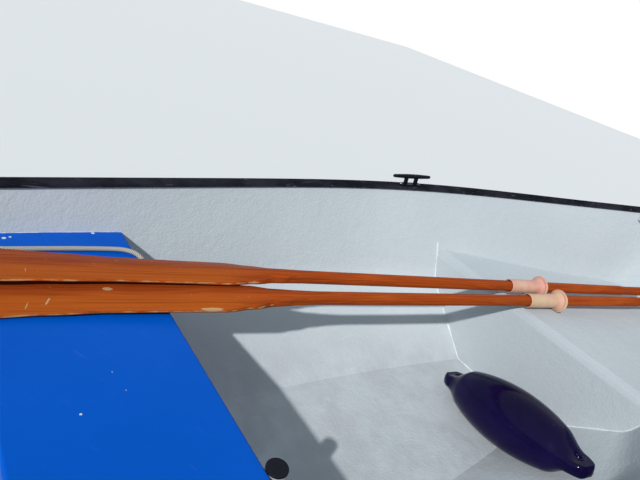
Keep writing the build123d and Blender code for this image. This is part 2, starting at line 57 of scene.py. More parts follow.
DOWN = (0, 0, -1)
PLAIN_GREY = (0.5, 0.5, 0.5, 1.0)       # what a viewer shows where it can't read a procedural material

Colour = tuple[float, float, float]
Point = tuple[float, float, float]
Socket = bpy.types.NodeSocket


class Slot(Enum):
    """Material slots of the record."""

    GELCOAT = "gelcoat"
    BLUE = "blue_paint"
    TUBE = "grey_tube"
    PLASTIC = "black_plastic"
    RUBBER = "black_rubber"
    WOOD = "varnished_wood"
    STEEL = "galvanised_steel"
    CREAM = "cream_plastic"
    VINYL = "navy_vinyl"
    ROPE = "rope"


class Coordinates(Enum):
    """What a finish reads its pattern from."""

    OBJECT = "object"       # the boat's own frame
    REST = "rest"           # kept on each point: the piece as it was made, before it was laid in place


# Node trees

class NodeSheet:
    """Adds nodes to one tree and links them."""

    def __init__(self, tree: bpy.types.NodeTree) -> None:
        """Keeps the tree that the nodes go into."""
        self.tree = tree

    def node(self, kind: str, inputs: dict[str | int, Any] | None = None, **settings: Any) -> bpy.types.Node:
        """Adds one node.

        Args:
            kind: the node's type name.
            inputs: values or sockets, by input name or number.
            settings: properties of the node itself.
        Returns:
            The new node.
        """
        made = self.tree.nodes.new(kind)
        for key, value in settings.items():
            setattr(made, key, value)
        for key, value in (inputs or {}).items():
            if isinstance(value, Socket):
                self.tree.links.new(value, made.inputs[key])
            else:
                made.inputs[key].default_value = value
        return made

    def math(self, operation: str, a: Any, b: Any = 0.0) -> Socket:
        """Puts one arithmetic step between two numbers or sockets and returns its result."""
        return self.node("ShaderNodeMath", {0: a, 1: b}, operation=operation).outputs[0]

    def times(self, a: Any, b: Any) -> Socket:
        """Multiplies two numbers or sockets."""
        return self.math("MULTIPLY", a, b)

    def plus(self, a: Any, b: Any) -> Socket:
        """Adds two numbers or sockets."""
        return self.math("ADD", a, b)

    def vector(self, operation: str, a: Any, b: Any = (0.0, 0.0, 0.0)) -> Any:
        """Puts one step of vector arithmetic between two vectors or sockets and returns its outputs."""
        return self.node("ShaderNodeVectorMath", {0: a, 1: b}, operation=operation).outputs

    def axes(self, vector: Socket) -> Any:
        """Splits a vector into its three numbers."""
        return self.node("ShaderNodeSeparateXYZ", {0: vector}).outputs

    def stored(self, name: str, output: str) -> Socket:
        """Reads a value that the mesh keeps on its points."""
        return self.node("ShaderNodeAttribute", attribute_name=name).outputs[output]

    def band(self, value: Any, low: Any, high: Any) -> Socket:
        """Maps a value smoothly to 0 at low and 1 at high, held at both ends."""
        return self.node("ShaderNodeMapRange", {"Value": value, "From Min": low, "From Max": high},
                         interpolation_type="SMOOTHSTEP").outputs[0]

    def mix(self, factor: Any, a: Any, b: Any) -> Socket:
        """Mixes two colours, each three numbers or a socket, and returns the colour."""
        first, second = (value if isinstance(value, Socket) else (*value, 1.0) for value in (a, b))
        return self.node("ShaderNodeMix", {0: factor, 6: first, 7: second}, data_type="RGBA").outputs[2]

    def over(self, colour: Any, top: Colour, mask: Any, share: float) -> Socket:
        """Lays a colour over another where a mask is 1, at a share of its full strength."""
        return self.mix(self.times(mask, share), colour, top)

    def noise(self, vector: Any, scale: Any, detail: float = 3.0, rough: float = 0.55) -> Socket:
        """Adds a noise and returns its factor."""
        return self.node("ShaderNodeTexNoise", {"Vector": vector, "Scale": scale, "Detail": detail,
                                                "Roughness": rough}).outputs[0]

    def mapping(self, vector: Any, place: Point = (0, 0, 0), turn: Point = (0, 0, 0),
                scale: Point = (1, 1, 1)) -> Socket:
        """Moves, turns and scales a coordinate."""
        return self.node("ShaderNodeMapping", {"Vector": vector, "Location": place, "Rotation": turn,
                                               "Scale": scale}).outputs[0]


Filler = Callable[[NodeSheet, Any], Sequence[Socket]]


class Effects:
    """Shader node groups that several finishes share, each built when it is first used."""

    def __init__(self) -> None:
        """Starts with no group built."""
        self.trees: dict[str, bpy.types.NodeTree] = {}

    @staticmethod
    def _built(name: str, inputs: Iterable[str], outputs: Iterable[str], fill: Filler) -> bpy.types.NodeTree:
        """Builds a group whose inputs are a vector and numbers, and whose outputs are numbers."""
        tree = bpy.data.node_groups.new(name, "ShaderNodeTree")
        for key in inputs:
            kind = "NodeSocketVector" if key == "Vector" else "NodeSocketFloat"
            tree.interface.new_socket(key, in_out="INPUT", socket_type=kind)
        for key in outputs:
            tree.interface.new_socket(key, in_out="OUTPUT", socket_type="NodeSocketFloat")
        sheet = NodeSheet(tree)
        results = fill(sheet, sheet.node("NodeGroupInput").outputs)
        sheet.node("NodeGroupOutput", dict(enumerate(results)))
        return tree

    def _use(self, sheet: NodeSheet, name: str, values: dict[str | int, Any], outputs: Sequence[str],
             fill: Filler) -> Any:
        """Places a group in a tree.

        Args:
            sheet: the tree that it goes into.
            name: the group's name.
            values: what goes into its inputs.
            outputs: its outputs, each a number over the surface.
            fill: makes the group's nodes and returns one socket for each output.
        Returns:
            The outputs of the placed group.
        """
        if name not in self.trees:
            self.trees[name] = self._built(name, values, outputs, fill)
        return sheet.node("ShaderNodeGroup", values, node_tree=self.trees[name]).outputs

    def mottle(self, sheet: NodeSheet, vector: Socket, scale: float) -> Socket:
        """Soft clouds from 0 to 1."""
        def fill(inner: NodeSheet, start: Any) -> Sequence[Socket]:
            """Widens the middle of a noise."""
            return [inner.band(inner.noise(start["Vector"], start["Scale"], 5.0, 0.6), 0.34, 0.66)]
        return self._use(sheet, "mottle", {"Vector": vector, "Scale": scale}, ["Mask"], fill)[0]

    def scratches(self, sheet: NodeSheet, vector: Socket, scale: float, level: float) -> Socket:
        """Thin broken lines along X, fewer as level rises from 0.55 to 0.75."""
        def fill(inner: NodeSheet, start: Any) -> Sequence[Socket]:
            """Cuts a noise that is drawn out along X."""
            bent = inner.times(inner.noise(start["Vector"], 1.3, 2.0), 0.12)
            shifted = inner.vector("ADD", start["Vector"], bent)[0]
            line = inner.noise(inner.mapping(shifted, scale=(1.0, 34.0, 34.0)), start["Scale"], 2.0, 0.5)
            return [inner.band(line, start["Level"], inner.plus(start["Level"], 0.025))]
        values = {"Vector": vector, "Scale": scale, "Level": level}
        return self._use(sheet, "scratches", values, ["Mask"], fill)[0]

    def specks(self, sheet: NodeSheet, vector: Socket, scale: float, size: float, share: float) -> Socket:
        """Small round specks: cells per metre, radius as a share of a cell, share of cells that have one."""
        def fill(inner: NodeSheet, start: Any) -> Sequence[Socket]:
            """Marks the middles of some cells."""
            cells = inner.node("ShaderNodeTexVoronoi", {"Vector": start["Vector"], "Scale": start["Scale"]})
            random = inner.node("ShaderNodeSeparateColor", {0: cells.outputs["Color"]}).outputs[0]
            chosen = inner.math("LESS_THAN", random, start["Share"])
            ragged = inner.noise(start["Vector"], 900.0, 2.0)
            edge = inner.times(start["Size"], inner.plus(ragged, 0.5))
            return [inner.times(chosen, inner.math("LESS_THAN", cells.outputs["Distance"], edge))]
        values = {"Vector": vector, "Scale": scale, "Size": size, "Share": share}
        return self._use(sheet, "specks", values, ["Mask"], fill)[0]

    def grain(self, sheet: NodeSheet, vector: Socket, scale: float) -> Any:
        """Straight wood grain along X: Tone of the growth lines, and Pores."""
        def fill(inner: NodeSheet, start: Any) -> Sequence[Socket]:
            """Draws out two noises along X, one broad and one fine."""
            along = start["Vector"]
            broad = inner.noise(inner.mapping(along, scale=(0.06, 1.0, 1.0)), start["Scale"], 3.0)
            fine = inner.noise(inner.mapping(along, scale=(0.02, 6.0, 6.0)), start["Scale"], 3.0, 0.7)
            lines = inner.math("SINE", inner.times(broad, 46.0))
            tone = inner.plus(inner.times(lines, 0.3), broad)
            return [inner.band(tone, 0.1, 0.95), inner.band(fine, 0.5, 0.66)]
        return self._use(sheet, "grain", {"Vector": vector, "Scale": scale}, ["Tone", "Pores"], fill)

    def stipple(self, sheet: NodeSheet, vector: Socket, scale: float) -> Socket:
        """The lumps that a roller or brush leaves, from 0 to 1."""
        def fill(inner: NodeSheet, start: Any) -> Sequence[Socket]:
            """Adds a coarse and a fine noise."""
            fine = inner.noise(start["Vector"], start["Scale"], 2.0)
            coarse = inner.noise(start["Vector"], inner.times(start["Scale"], 0.22), 2.0)
            return [inner.plus(inner.times(fine, 0.45), inner.times(coarse, 0.55))]
        return self._use(sheet, "stipple", {"Vector": vector, "Scale": scale}, ["Height"], fill)[0]


@dataclass(frozen=True)
class Surface:
    """What a finish gives its shader: sockets that change over the surface."""

    colour: Socket
    roughness: Any
    height: Socket


@dataclass(frozen=True)
class Finish:
    """A procedural material.

    Fields: its name, the coordinates it reads, the bump's depth in metres, and shader values that are the
    same all over.
    """

    name: str
    slot: Slot
    coordinates: Coordinates = Coordinates.OBJECT
    relief: float = 0.0003
    metallic: float = 0.0
    specular: float = 0.5

    def dress(self, sheet: NodeSheet, effects: Effects, place: Socket) -> Surface:
        """Returns the colour, roughness and height over the surface, from its coordinates."""
        raise NotImplementedError

    def build(self, effects: Effects) -> bpy.types.Material:
        """Makes the material."""
        material = bpy.data.materials.new(self.name)
        material.use_nodes = True
        material.node_tree.nodes.clear()
        sheet = NodeSheet(material.node_tree)
        if self.coordinates is Coordinates.REST:
            place = sheet.stored("rest", "Vector")
        else:
            place = sheet.node("ShaderNodeTexCoord").outputs["Object"]
        surface = self.dress(sheet, effects, place)
        bump = sheet.node("ShaderNodeBump", {"Height": surface.height, "Strength": 1.0,
                                             "Distance": self.relief})
        shader = sheet.node("ShaderNodeBsdfPrincipled", {
            "Base Color": surface.colour, "Roughness": surface.roughness, "Metallic": self.metallic,
            "Specular IOR Level": self.specular, "Normal": bump.outputs[0]})
        sheet.node("ShaderNodeOutputMaterial", {"Surface": shader.outputs[0]})
        material.diffuse_color = PLAIN_GREY
        return material


@dataclass(frozen=True)
class LaminatePaint(Finish):
    """Roller paint inside the hull, with painted shade on the bow platform's rounded edge and on aft-facing
    faces inside, and worn gelcoat on its outside.
    """

    paint: Colour = (0.535, 0.575, 0.595)
    paint_low: Colour = (0.47, 0.51, 0.535)
    outer: Colour = (0.60, 0.64, 0.66)
    grime: Colour = (0.30, 0.31, 0.29)
    chalk: Colour = (0.72, 0.75, 0.77)
    # rubbed is painted shade: the colour laid on the bow platform's rounded edge and on aft-facing faces
    # inside.
    rubbed: Colour = (0.36, 0.40, 0.43)
    # Heights over the ground: each pair is where a change of colour begins and where it is full.
    bilge: tuple[float, float] = (0.12, 0.035)
    scum: tuple[float, float] = (0.17, 0.11)
    # platform_edge gives the heights of the painted shade on the bow platform's rounded edge.
    platform_edge: tuple[float, float] = (0.25, 0.29)
    lumps_scale: float = 150.0

    def dress(self, sheet: NodeSheet, effects: Effects, place: Socket) -> Surface:
        """Tells the inside from the outside by which way the surface faces: the topsides flare."""
        level = sheet.axes(place)[2]
        ways = sheet.axes(sheet.node("ShaderNodeNewGeometry").outputs["Normal"])
        inside = sheet.band(ways[2], -0.05, -0.01)
        cloud = effects.mottle(sheet, place, 1.9)
        patch = effects.mottle(sheet, place, 11.0)
        tone = sheet.over(self.paint, self.paint_low, cloud, 0.6)
        tone = sheet.over(tone, self.grime, sheet.times(sheet.band(level, *self.bilge), patch), 0.30)
        tone = sheet.over(tone, self.chalk, effects.scratches(sheet, place, 3.0, 0.72), 0.18)
        tone = sheet.over(tone, self.grime, effects.specks(sheet, place, 26.0, 0.030, 0.10), 0.35)
        outer = sheet.over(self.outer, self.grime, sheet.times(sheet.band(level, *self.scum), patch), 0.35)
        outer = sheet.over(outer, self.chalk, effects.scratches(sheet, place, 7.0, 0.64), 0.4)
        colour = sheet.mix(inside, outer, tone)
        # Painted shade on the bow platform's rounded edge, which faces aft and up.
        turned = sheet.times(sheet.band(ways[0], -0.12, -0.55), sheet.band(ways[2], 0.12, 0.55))
        painted_edge_shade = sheet.times(turned, sheet.band(level, *self.platform_edge))
        colour = sheet.over(colour, self.rubbed, painted_edge_shade, 0.62)
        # Painted shade on the aft-facing faces inside, such as the bow bulkhead's face.
        painted_aft_shade = sheet.times(sheet.band(ways[0], -0.6, -0.9), inside)
        colour = sheet.over(colour, self.rubbed, painted_aft_shade, 0.5)
        roughness = sheet.plus(sheet.times(inside, 0.26), sheet.plus(sheet.times(patch, 0.08), 0.26))
        lumps = effects.stipple(sheet, place, self.lumps_scale)
        return Surface(colour, roughness, sheet.times(lumps, inside))


@dataclass(frozen=True)
class SeatPaint(Finish):
    """Glossy blue paint with chips down to the undercoat, at places given as x, y and radius."""

    paint: Colour = (0.0, 0.092, 0.52)
    paint_low: Colour = (0.0, 0.080, 0.46)
    undercoat: Colour = (0.62, 0.66, 0.70)
    chips: tuple[Point, ...] = ()

    def dress(self, sheet: NodeSheet, effects: Effects, place: Socket) -> Surface:
        """Mixes the chips over a faintly clouded and scratched paint."""
        cloud = effects.mottle(sheet, place, 3.0)
        colour = sheet.over(self.paint, self.paint_low, cloud, 0.5)
        hair = effects.scratches(sheet, sheet.mapping(place, turn=(0, 0, 1.0)), 9.0, 0.70)
        colour = sheet.over(colour, self.undercoat, hair, 0.025)
        fine = effects.specks(sheet, place, 14.0, 0.022, 0.05)
        ragged = sheet.noise(place, 420.0, 2.0)
        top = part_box("thwart")[1].z
        chipped = fine
        for x, y, radius in self.chips:
            away = sheet.vector("DISTANCE", place, (x, y, top))["Value"]
            rim = sheet.times(sheet.plus(ragged, 0.5), radius)
            chipped = sheet.math("MAXIMUM", chipped, sheet.math("LESS_THAN", away, rim))
        colour = sheet.mix(chipped, colour, self.undercoat)
        roughness = sheet.plus(0.34, sheet.times(cloud, 0.12))
        lumps = sheet.math("SUBTRACT", sheet.noise(place, 60.0, 2.0), sheet.times(chipped, 0.8))
        return Surface(colour, roughness, lumps)


@dataclass(frozen=True)
class Varnish(Finish):
    """Orange-brown varnish over straight-grained wood, worn where the piece's wear value rises."""

    light: Colour = (0.41, 0.076, 0.012)
    middle: Colour = (0.28, 0.044, 0.008)
    dark: Colour = (0.13, 0.022, 0.005)
    bare: Colour = (0.50, 0.33, 0.16)
    pale: Colour = (0.44, 0.100, 0.012)
    # Nicks through the varnish: x and y of the middle, half length, half width, and turn in radians.
    nicks: tuple[tuple[float, float, float, float, float], ...] = ()

    def nicked(self, sheet: NodeSheet, place: Socket) -> Any:
        """Returns 1 inside the nicks on the upper face and 0 outside them."""
        reach = sheet.plus(sheet.times(sheet.noise(place, 260.0, 3.0), 1.1), 0.40)
        found = 0.0
        for x, y, long, wide, turn in self.nicks:
            c, s = math.cos(-turn), math.sin(-turn)
            local = sheet.mapping(place, (-(x * c - y * s), -(x * s + y * c), 0.0), (0.0, 0.0, -turn))
            scaled = sheet.vector("MULTIPLY", local, (1 / long, 1 / wide, 0.0))[0]
            away = sheet.vector("LENGTH", scaled)["Value"]
            found = sheet.math("MAXIMUM", found, sheet.math("LESS_THAN", away, reach))
        return sheet.times(found, sheet.math("GREATER_THAN", sheet.axes(place)[2], 0.0))

    def dress(self, sheet: NodeSheet, effects: Effects, place: Socket) -> Surface:
        """Lays grain, dark pores and worn patches over each other."""
        grain = effects.grain(sheet, place, 30.0)
        cloud = effects.mottle(sheet, sheet.mapping(place, scale=(1.0, 4.0, 4.0)), 3.0)
        tone = sheet.plus(sheet.times(grain["Tone"], 0.6), sheet.times(cloud, 0.4))
        colour = sheet.mix(tone, self.middle, self.light)
        axes = sheet.axes(place)
        # Lighter over the blade's half at -Y in the rest frame, fading out between 0.50 m and 0.64 m from the
        # tip.
        flank = sheet.times(sheet.band(axes[1], 0.004, -0.022), sheet.band(axes[0], 0.64, 0.50))
        colour = sheet.over(colour, self.pale, flank, 0.55)
        colour = sheet.over(colour, self.dark, grain["Pores"], 0.45)
        worn = sheet.stored("wear_and_groove_shade", "Fac")
        ragged = sheet.noise(sheet.mapping(place, scale=(0.35, 1.0, 1.0)), 90.0, 4.0)
        rubbed = sheet.band(sheet.plus(worn, sheet.times(ragged, 0.8)), 0.92, 1.10)
        if self.nicks:
            rubbed = sheet.math("MAXIMUM", rubbed, self.nicked(sheet, place))
        colour = sheet.over(colour, self.bare, rubbed, 0.85)
        nick = effects.scratches(sheet, sheet.mapping(place, turn=(0, 0, 0.9)), 14.0, 0.72)
        colour = sheet.over(colour, self.bare, nick, 0.6)
        roughness = sheet.plus(0.22, sheet.times(rubbed, 0.4))
        height = sheet.math("SUBTRACT", sheet.times(grain["Tone"], 0.5), sheet.times(rubbed, 0.6))
        return Surface(colour, roughness, height)


@dataclass(frozen=True)
class Moulding(Finish):
    """Moulded rubber or plastic: a clouded colour, bloom, rubbed marks and pale specks."""

    colour: Colour = (0.03, 0.03, 0.036)
    bloom: Colour = (0.09, 0.09, 0.10)
    mark: Colour = (0.26, 0.26, 0.27)
    cloud_scale: float = 9.0
    marks: float = 0.67
    speck_share: float = 0.10
    roughness: float = 0.5
    texture_scale: float = 500.0

    def dress(self, sheet: NodeSheet, effects: Effects, place: Socket) -> Surface:
        """Mixes bloom, marks and specks over the colour."""
        cloud = effects.mottle(sheet, place, self.cloud_scale)
        colour = sheet.over(self.colour, self.bloom, cloud, 0.7)
        rubbed = effects.scratches(sheet, place, 6.0, self.marks)
        colour = sheet.over(colour, self.mark, rubbed, 0.55)
        speck = effects.specks(sheet, place, 38.0, 0.06, self.speck_share)
        colour = sheet.over(colour, self.mark, speck, 0.8)
        roughness = sheet.plus(self.roughness, sheet.times(cloud, 0.12))
        return Surface(colour, roughness, sheet.noise(place, self.texture_scale, 2.0))


@dataclass(frozen=True)
class DullMetal(Finish):
    """Galvanised or weathered metal with a faint brown stain."""

    colour: Colour = (0.50, 0.51, 0.52)
    shade: Colour = (0.30, 0.31, 0.32)
    stain: Colour = (0.22, 0.12, 0.06)
    roughness: float = 0.38

    def dress(self, sheet: NodeSheet, effects: Effects, place: Socket) -> Surface:
        """Mixes shade and stain over the metal."""
        cloud = effects.mottle(sheet, place, 60.0)
        colour = sheet.over(self.colour, self.shade, cloud, 0.6)
        rust = sheet.times(sheet.band(sheet.noise(place, 34.0, 4.0), 0.58, 0.70), 0.5)
        colour = sheet.mix(rust, colour, self.stain)
        roughness = sheet.plus(self.roughness, sheet.times(cloud, 0.2))
        return Surface(colour, roughness, sheet.noise(place, 700.0, 2.0))


@dataclass(frozen=True)
class SleeveCream(Finish):
    """Aged cream plastic, pinker in places, with dirt and rubbed rings."""

    cream: Colour = (0.60, 0.42, 0.27)
    pink: Colour = (0.60, 0.33, 0.235)
    dirt: Colour = (0.36, 0.24, 0.15)

    def dress(self, sheet: NodeSheet, effects: Effects, place: Socket) -> Surface:
        """Mixes pink clouds and dirt streaks over the cream."""
        cloud = effects.mottle(sheet, place, 16.0)
        colour = sheet.mix(cloud, self.cream, self.pink)
        streak = effects.scratches(sheet, sheet.mapping(place, turn=(0, 0, 1.57)), 22.0, 0.62)
        colour = sheet.over(colour, self.dirt, streak, 0.4)
        spot = sheet.band(sheet.noise(place, 70.0, 4.0), 0.60, 0.72)
        colour = sheet.over(colour, self.dirt, spot, 0.4)
        return Surface(colour, sheet.plus(0.34, sheet.times(cloud, 0.15)),
                       sheet.noise(place, 260.0, 3.0))


@dataclass(frozen=True)
class Fibre(Finish):
    """Braided rope: its strands are in the mesh, and their relief value paints shade into the grooves between
    them.
    """

    crown: Colour = (0.60, 0.57, 0.50)
    # groove is painted shade: the dark colour of the low places between the strands.
    groove: Colour = (0.055, 0.050, 0.045)
    stain: Colour = (0.42, 0.37, 0.28)

    def dress(self, sheet: NodeSheet, effects: Effects, place: Socket) -> Surface:
        """Mixes the painted shade of the grooves, stains and fine fibres."""
        high = sheet.stored("wear_and_groove_shade", "Fac")
        # Painted shade between the strands: the lower the relief, the nearer the groove colour.
        colour = sheet.mix(sheet.band(high, 0.40, 1.0), self.groove, self.crown)
        cloud = effects.mottle(sheet, place, 9.0)
        colour = sheet.over(colour, self.stain, cloud, 0.35)
        return Surface(colour, 0.85, sheet.noise(place, 1500.0, 2.0))


# A worn place through a finish: x and y of its middle, half length, half width, and turn in radians.
STARBOARD_NICKS = (
    (0.1145, -0.0456, 0.0105, 0.0012, 1.39), (0.1510, -0.0320, 0.0128, 0.0022, 1.27),
    (0.2647, 0.0110, 0.0105, 0.0070, -0.12), (0.4860, -0.0530, 0.0270, 0.0032, 0.0))
PORT_NICKS = ((0.1185, -0.0360, 0.0080, 0.0009, 1.71), (0.3000, 0.0300, 0.0060, 0.0010, 0.3))
SEAT_CHIPS = (
    (-0.395, 0.038, 0.0022), (-0.321, 0.122, 0.0011), (-0.311, 0.070, 0.0010),
    (-0.227, 0.637, 0.0042), (-0.430, 0.625, 0.0048), (-0.417, 0.629, 0.0030))

FINISHES = {
    "laminate": LaminatePaint("laminate_paint", Slot.GELCOAT, relief=0.0024, specular=0.2),
    "bonding": Moulding(
        "bonding_filler", Slot.GELCOAT, colour=(0.64, 0.68, 0.70), bloom=(0.53, 0.575, 0.60),
        mark=(0.50, 0.54, 0.56), cloud_scale=45.0, roughness=0.55, texture_scale=220.0, relief=0.0012,
        specular=0.2),
    "seat": SeatPaint("blue_seat_paint", Slot.BLUE, relief=0.0004, specular=0.06, chips=SEAT_CHIPS),
    "oar_starboard": Varnish(
        "oar_varnish_starboard", Slot.WOOD, Coordinates.REST, relief=0.0004, specular=0.02,
        nicks=STARBOARD_NICKS),
    "oar_port": Varnish(
        "oar_varnish_port", Slot.WOOD, Coordinates.REST, relief=0.0004, specular=0.02, nicks=PORT_NICKS),
    "board": Varnish("board_varnish", Slot.WOOD, relief=0.0004, specular=0.02),
    "rubber": Moulding(
        "gunwale_rubber", Slot.RUBBER, colour=(0.011, 0.011, 0.016), bloom=(0.032, 0.032, 0.042),
        mark=(0.14, 0.14, 0.15), relief=0.0004, roughness=0.8, specular=0.0),
    "nylon": Moulding(
        "black_nylon", Slot.PLASTIC, colour=(0.003, 0.004, 0.009), bloom=(0.007, 0.008, 0.014),
        marks=0.74, speck_share=0.03, roughness=0.40, relief=0.0002, specular=0.10),
    "metal": DullMetal("galvanised_metal", Slot.STEEL, metallic=1.0, relief=0.0002),
    "tube": Moulding(
        "weathered_tube", Slot.TUBE, colour=(0.44, 0.42, 0.39), bloom=(0.30, 0.28, 0.25),
        mark=(0.16, 0.13, 0.10), cloud_scale=14.0, roughness=0.5),
    "cream": SleeveCream("sleeve_cream", Slot.CREAM, Coordinates.REST, relief=0.0004, specular=0.15),
    "pinker_cream": SleeveCream(
        "sleeve_cream_pinker", Slot.CREAM, Coordinates.REST, relief=0.0004, specular=0.15,
        cream=(0.62, 0.39, 0.28), pink=(0.61, 0.27, 0.225)),
    "vinyl": Moulding(
        "indigo_vinyl", Slot.VINYL, colour=(0.0035, 0.002, 0.022), bloom=(0.009, 0.005, 0.046),
        mark=(0.04, 0.03, 0.10), cloud_scale=5.0, marks=0.73, speck_share=0.04, roughness=0.08,
        relief=0.0001, specular=0.07),
    "rope": Fibre("braided_rope", Slot.ROPE, relief=0.0003, specular=0.2),
}


class Paints:
    """The finishes as materials, each made when it is first asked for."""

    def __init__(self) -> None:
        """Starts with the shared effects and no material."""
        self.effects = Effects()
        self.made: dict[str, bpy.types.Material] = {}

    def get(self, name: str) -> bpy.types.Material:
        """Returns the material of a finish by its short name."""
        if name not in self.made:
            self.made[name] = FINISHES[name].build(self.effects)
        return self.made[name]


# Meshes

def put(name: str, data: Any) -> bpy.types.Object:
    """Makes an object and links it into the scene."""
    made = bpy.data.objects.new(name, data)
    bpy.context.scene.collection.objects.link(made)
    return made


def worked_mesh(piece: bpy.types.Object) -> bpy.types.Mesh:
    """Returns an object's mesh with its modifiers worked in."""
    bpy.context.view_layer.update()
    graph = bpy.context.evaluated_depsgraph_get()
    return bpy.data.meshes.new_from_object(piece.evaluated_get(graph), depsgraph=graph)


class Shell:
    """Collects the points and faces of one piece, with a rest place and a wear value for each point."""

    def __init__(self) -> None:
        """Starts empty."""
        self.points: list[Vector] = []
        self.rest: list[Vector] = []
        self.wear_and_groove_shade: list[float] = []
        self.faces: list[tuple[int, ...]] = []

    def loft(self, rings: Sequence[Sequence[Vector]], wear_and_groove_shade: Sequence[Sequence[float]] | None = None,
             loop: bool = False) -> None:
        """Skins closed rings of equal count.

        Args:
            rings: the rings, each right-handed about the way they follow each other.
            wear_and_groove_shade: a value for each point.
            loop: joins the last ring to the first; otherwise both ends are closed by a fan.
        """
        first = len(self.points)
        count = len(rings[0])
        for number, ring in enumerate(rings):
            self._keep(ring, wear_and_groove_shade[number] if wear_and_groove_shade else [0.0] * count)
        spans = len(rings) if loop else len(rings) - 1
        for i in range(spans):
            a = first + i * count
            b = first + (i + 1) % len(rings) * count
            for j in range(count):
                k = (j + 1) % count
                self.faces.append((a + j, a + k, b + k, b + j))
        if not loop:
            self._fan(rings[0], first, True)
            self._fan(rings[-1], first + (len(rings) - 1) * count, False)

    def _keep(self, points: Sequence[Vector], wear_and_groove_shade: Sequence[float]) -> None:
        """Adds points with their rest places and wear."""
        self.points.extend(points)
        self.rest.extend(points)
        self.wear_and_groove_shade.extend(wear_and_groove_shade)

    def _fan(self, ring: Sequence[Vector], first: int, start: bool) -> None:
        """Closes one end with triangles to its middle."""
        centre = len(self.points)
        self._keep([sum(ring, Vector()) / len(ring)], [0.0])
        for j in range(len(ring)):
            k = (j + 1) % len(ring)
            corners = (first + k, first + j, centre) if start else (first + j, first + k, centre)
            self.faces.append(corners)

    def move(self, place: Matrix) -> None:
        """Lays the points in place; the rest places stay as they were made."""
        self.points = [place @ point for point in self.points]

    def plain(self, name: str, sharp: float) -> bpy.types.Object:
        """Makes the object alone; edges that turn more than sharp degrees stay sharp."""
        mesh = bpy.data.meshes.new(name)
        mesh.from_pydata(self.points, [], self.faces)
        mesh.update()
        rest = mesh.attributes.new("rest", "FLOAT_VECTOR", "POINT")
        rest.data.foreach_set("vector", [c for point in self.rest for c in point])
        wear_and_groove_shade = mesh.attributes.new("wear_and_groove_shade", "FLOAT", "POINT")
        wear_and_groove_shade.data.foreach_set("value", self.wear_and_groove_shade)
        work = bmesh.new()
        work.from_mesh(mesh)
        bmesh.ops.recalc_face_normals(work, faces=work.faces)
        work.to_mesh(mesh)
        work.free()
        mesh.polygons.foreach_set("use_smooth", [True] * len(mesh.polygons))
        mesh.set_sharp_from_angle(angle=math.radians(sharp))
        return put(name, mesh)

    def build(self, name: str, paints: Paints, finish: str, replaces: Iterable[str] = (),
              sharp: float = 40.0) -> bpy.types.Object:
        """Makes the object, gives it its finish and lets it ride.

        Args:
            name: the piece's name.
            paints: the materials.
            finish: the finish's short name.
            replaces: CAD nodes that the piece stands for.
            sharp: edges that turn more than this many degrees stay sharp.
        Returns:
            The object.
        """
        return settle(self.plain(name, sharp), paints, finish, replaces)


def settle(piece: bpy.types.Object, paints: Paints, finish: str,
           replaces: Iterable[str] = ()) -> bpy.types.Object:
    """Gives a finished piece its material and the boat to ride on, and hides the CAD nodes it stands for."""
    piece.data.materials.clear()
    piece.data.materials.append(paints.get(finish))
    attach(piece, BOAT)
    if replaces:
        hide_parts(*replaces)
    LOG.info("%s: %d faces, %s", piece.name, len(piece.data.polygons), finish)
    return piece


def circle(centre: Vector, across: Vector, up: Vector, radius: float, sides: int) -> list[Vector]:
    """A ring of points, right-handed about across x up."""
    turns = [2 * math.pi * j / sides for j in range(sides)]
    return [centre + across * (radius * math.cos(t)) + up * (radius * math.sin(t)) for t in turns]


def frames_along(path: Sequence[Vector]) -> list[tuple[Vector, Vector, Vector]]:
    """Carries a pair of cross directions along a path without twist.

    Args:
        path: the points.
    Returns:
        For each point its across, up and forward directions.
    """
    frames = []
    across = Vector()
    for i in range(len(path)):
        ahead = path[min(i + 1, len(path) - 1)] - path[max(i - 1, 0)]
        ahead.normalize()
        if i == 0:
            seed = Vector((0, 0, 1)) if abs(ahead.z) < 0.9 else Vector((1, 0, 0))
            across = ahead.cross(seed).normalized()
        across = (across - ahead * across.dot(ahead)).normalized()
        frames.append((across, ahead.cross(across), ahead))
    return frames


def profile_at(table: Sequence[tuple[float, ...]], x: float) -> list[float]:
    """Reads a table with rising first column at x, eased smoothly between its rows."""
    if x <= table[0][0]:
        return list(table[0][1:])
    for low, high in zip(table, table[1:]):
        if x <= high[0]:
            t = (x - low[0]) / (high[0] - low[0])
            t = t * t * (3 - 2 * t)
            return [a + (b - a) * t for a, b in zip(low[1:], high[1:])]
    return list(table[-1][1:])


class Skin:
    """The surface of some CAD nodes, for seating things on it."""

    def __init__(self, *nodes: str) -> None:
        """Reads the nodes' meshes."""
        points: list[Vector] = []
        faces: list[tuple[int, ...]] = []
        for node in nodes:
            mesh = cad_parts[node].data
            first = len(points)
            points.extend(vertex.co.copy() for vertex in mesh.vertices)
            faces.extend(tuple(first + v for v in polygon.vertices) for polygon in mesh.polygons)
        self.tree = BVHTree.FromPolygons(points, faces)

    def hit(self, origin: Sequence[float], towards: Sequence[float]) -> tuple[Vector, Vector] | None:
        """Returns the point and the normal, facing back, where a ray first meets the surface."""
        direction = Vector(towards).normalized()
        point, normal, _, _ = self.tree.ray_cast(Vector(origin), direction)
        if point is None:
            return None
        return point, normal if normal.dot(direction) < 0 else -normal


# The boat's sub-assemblies

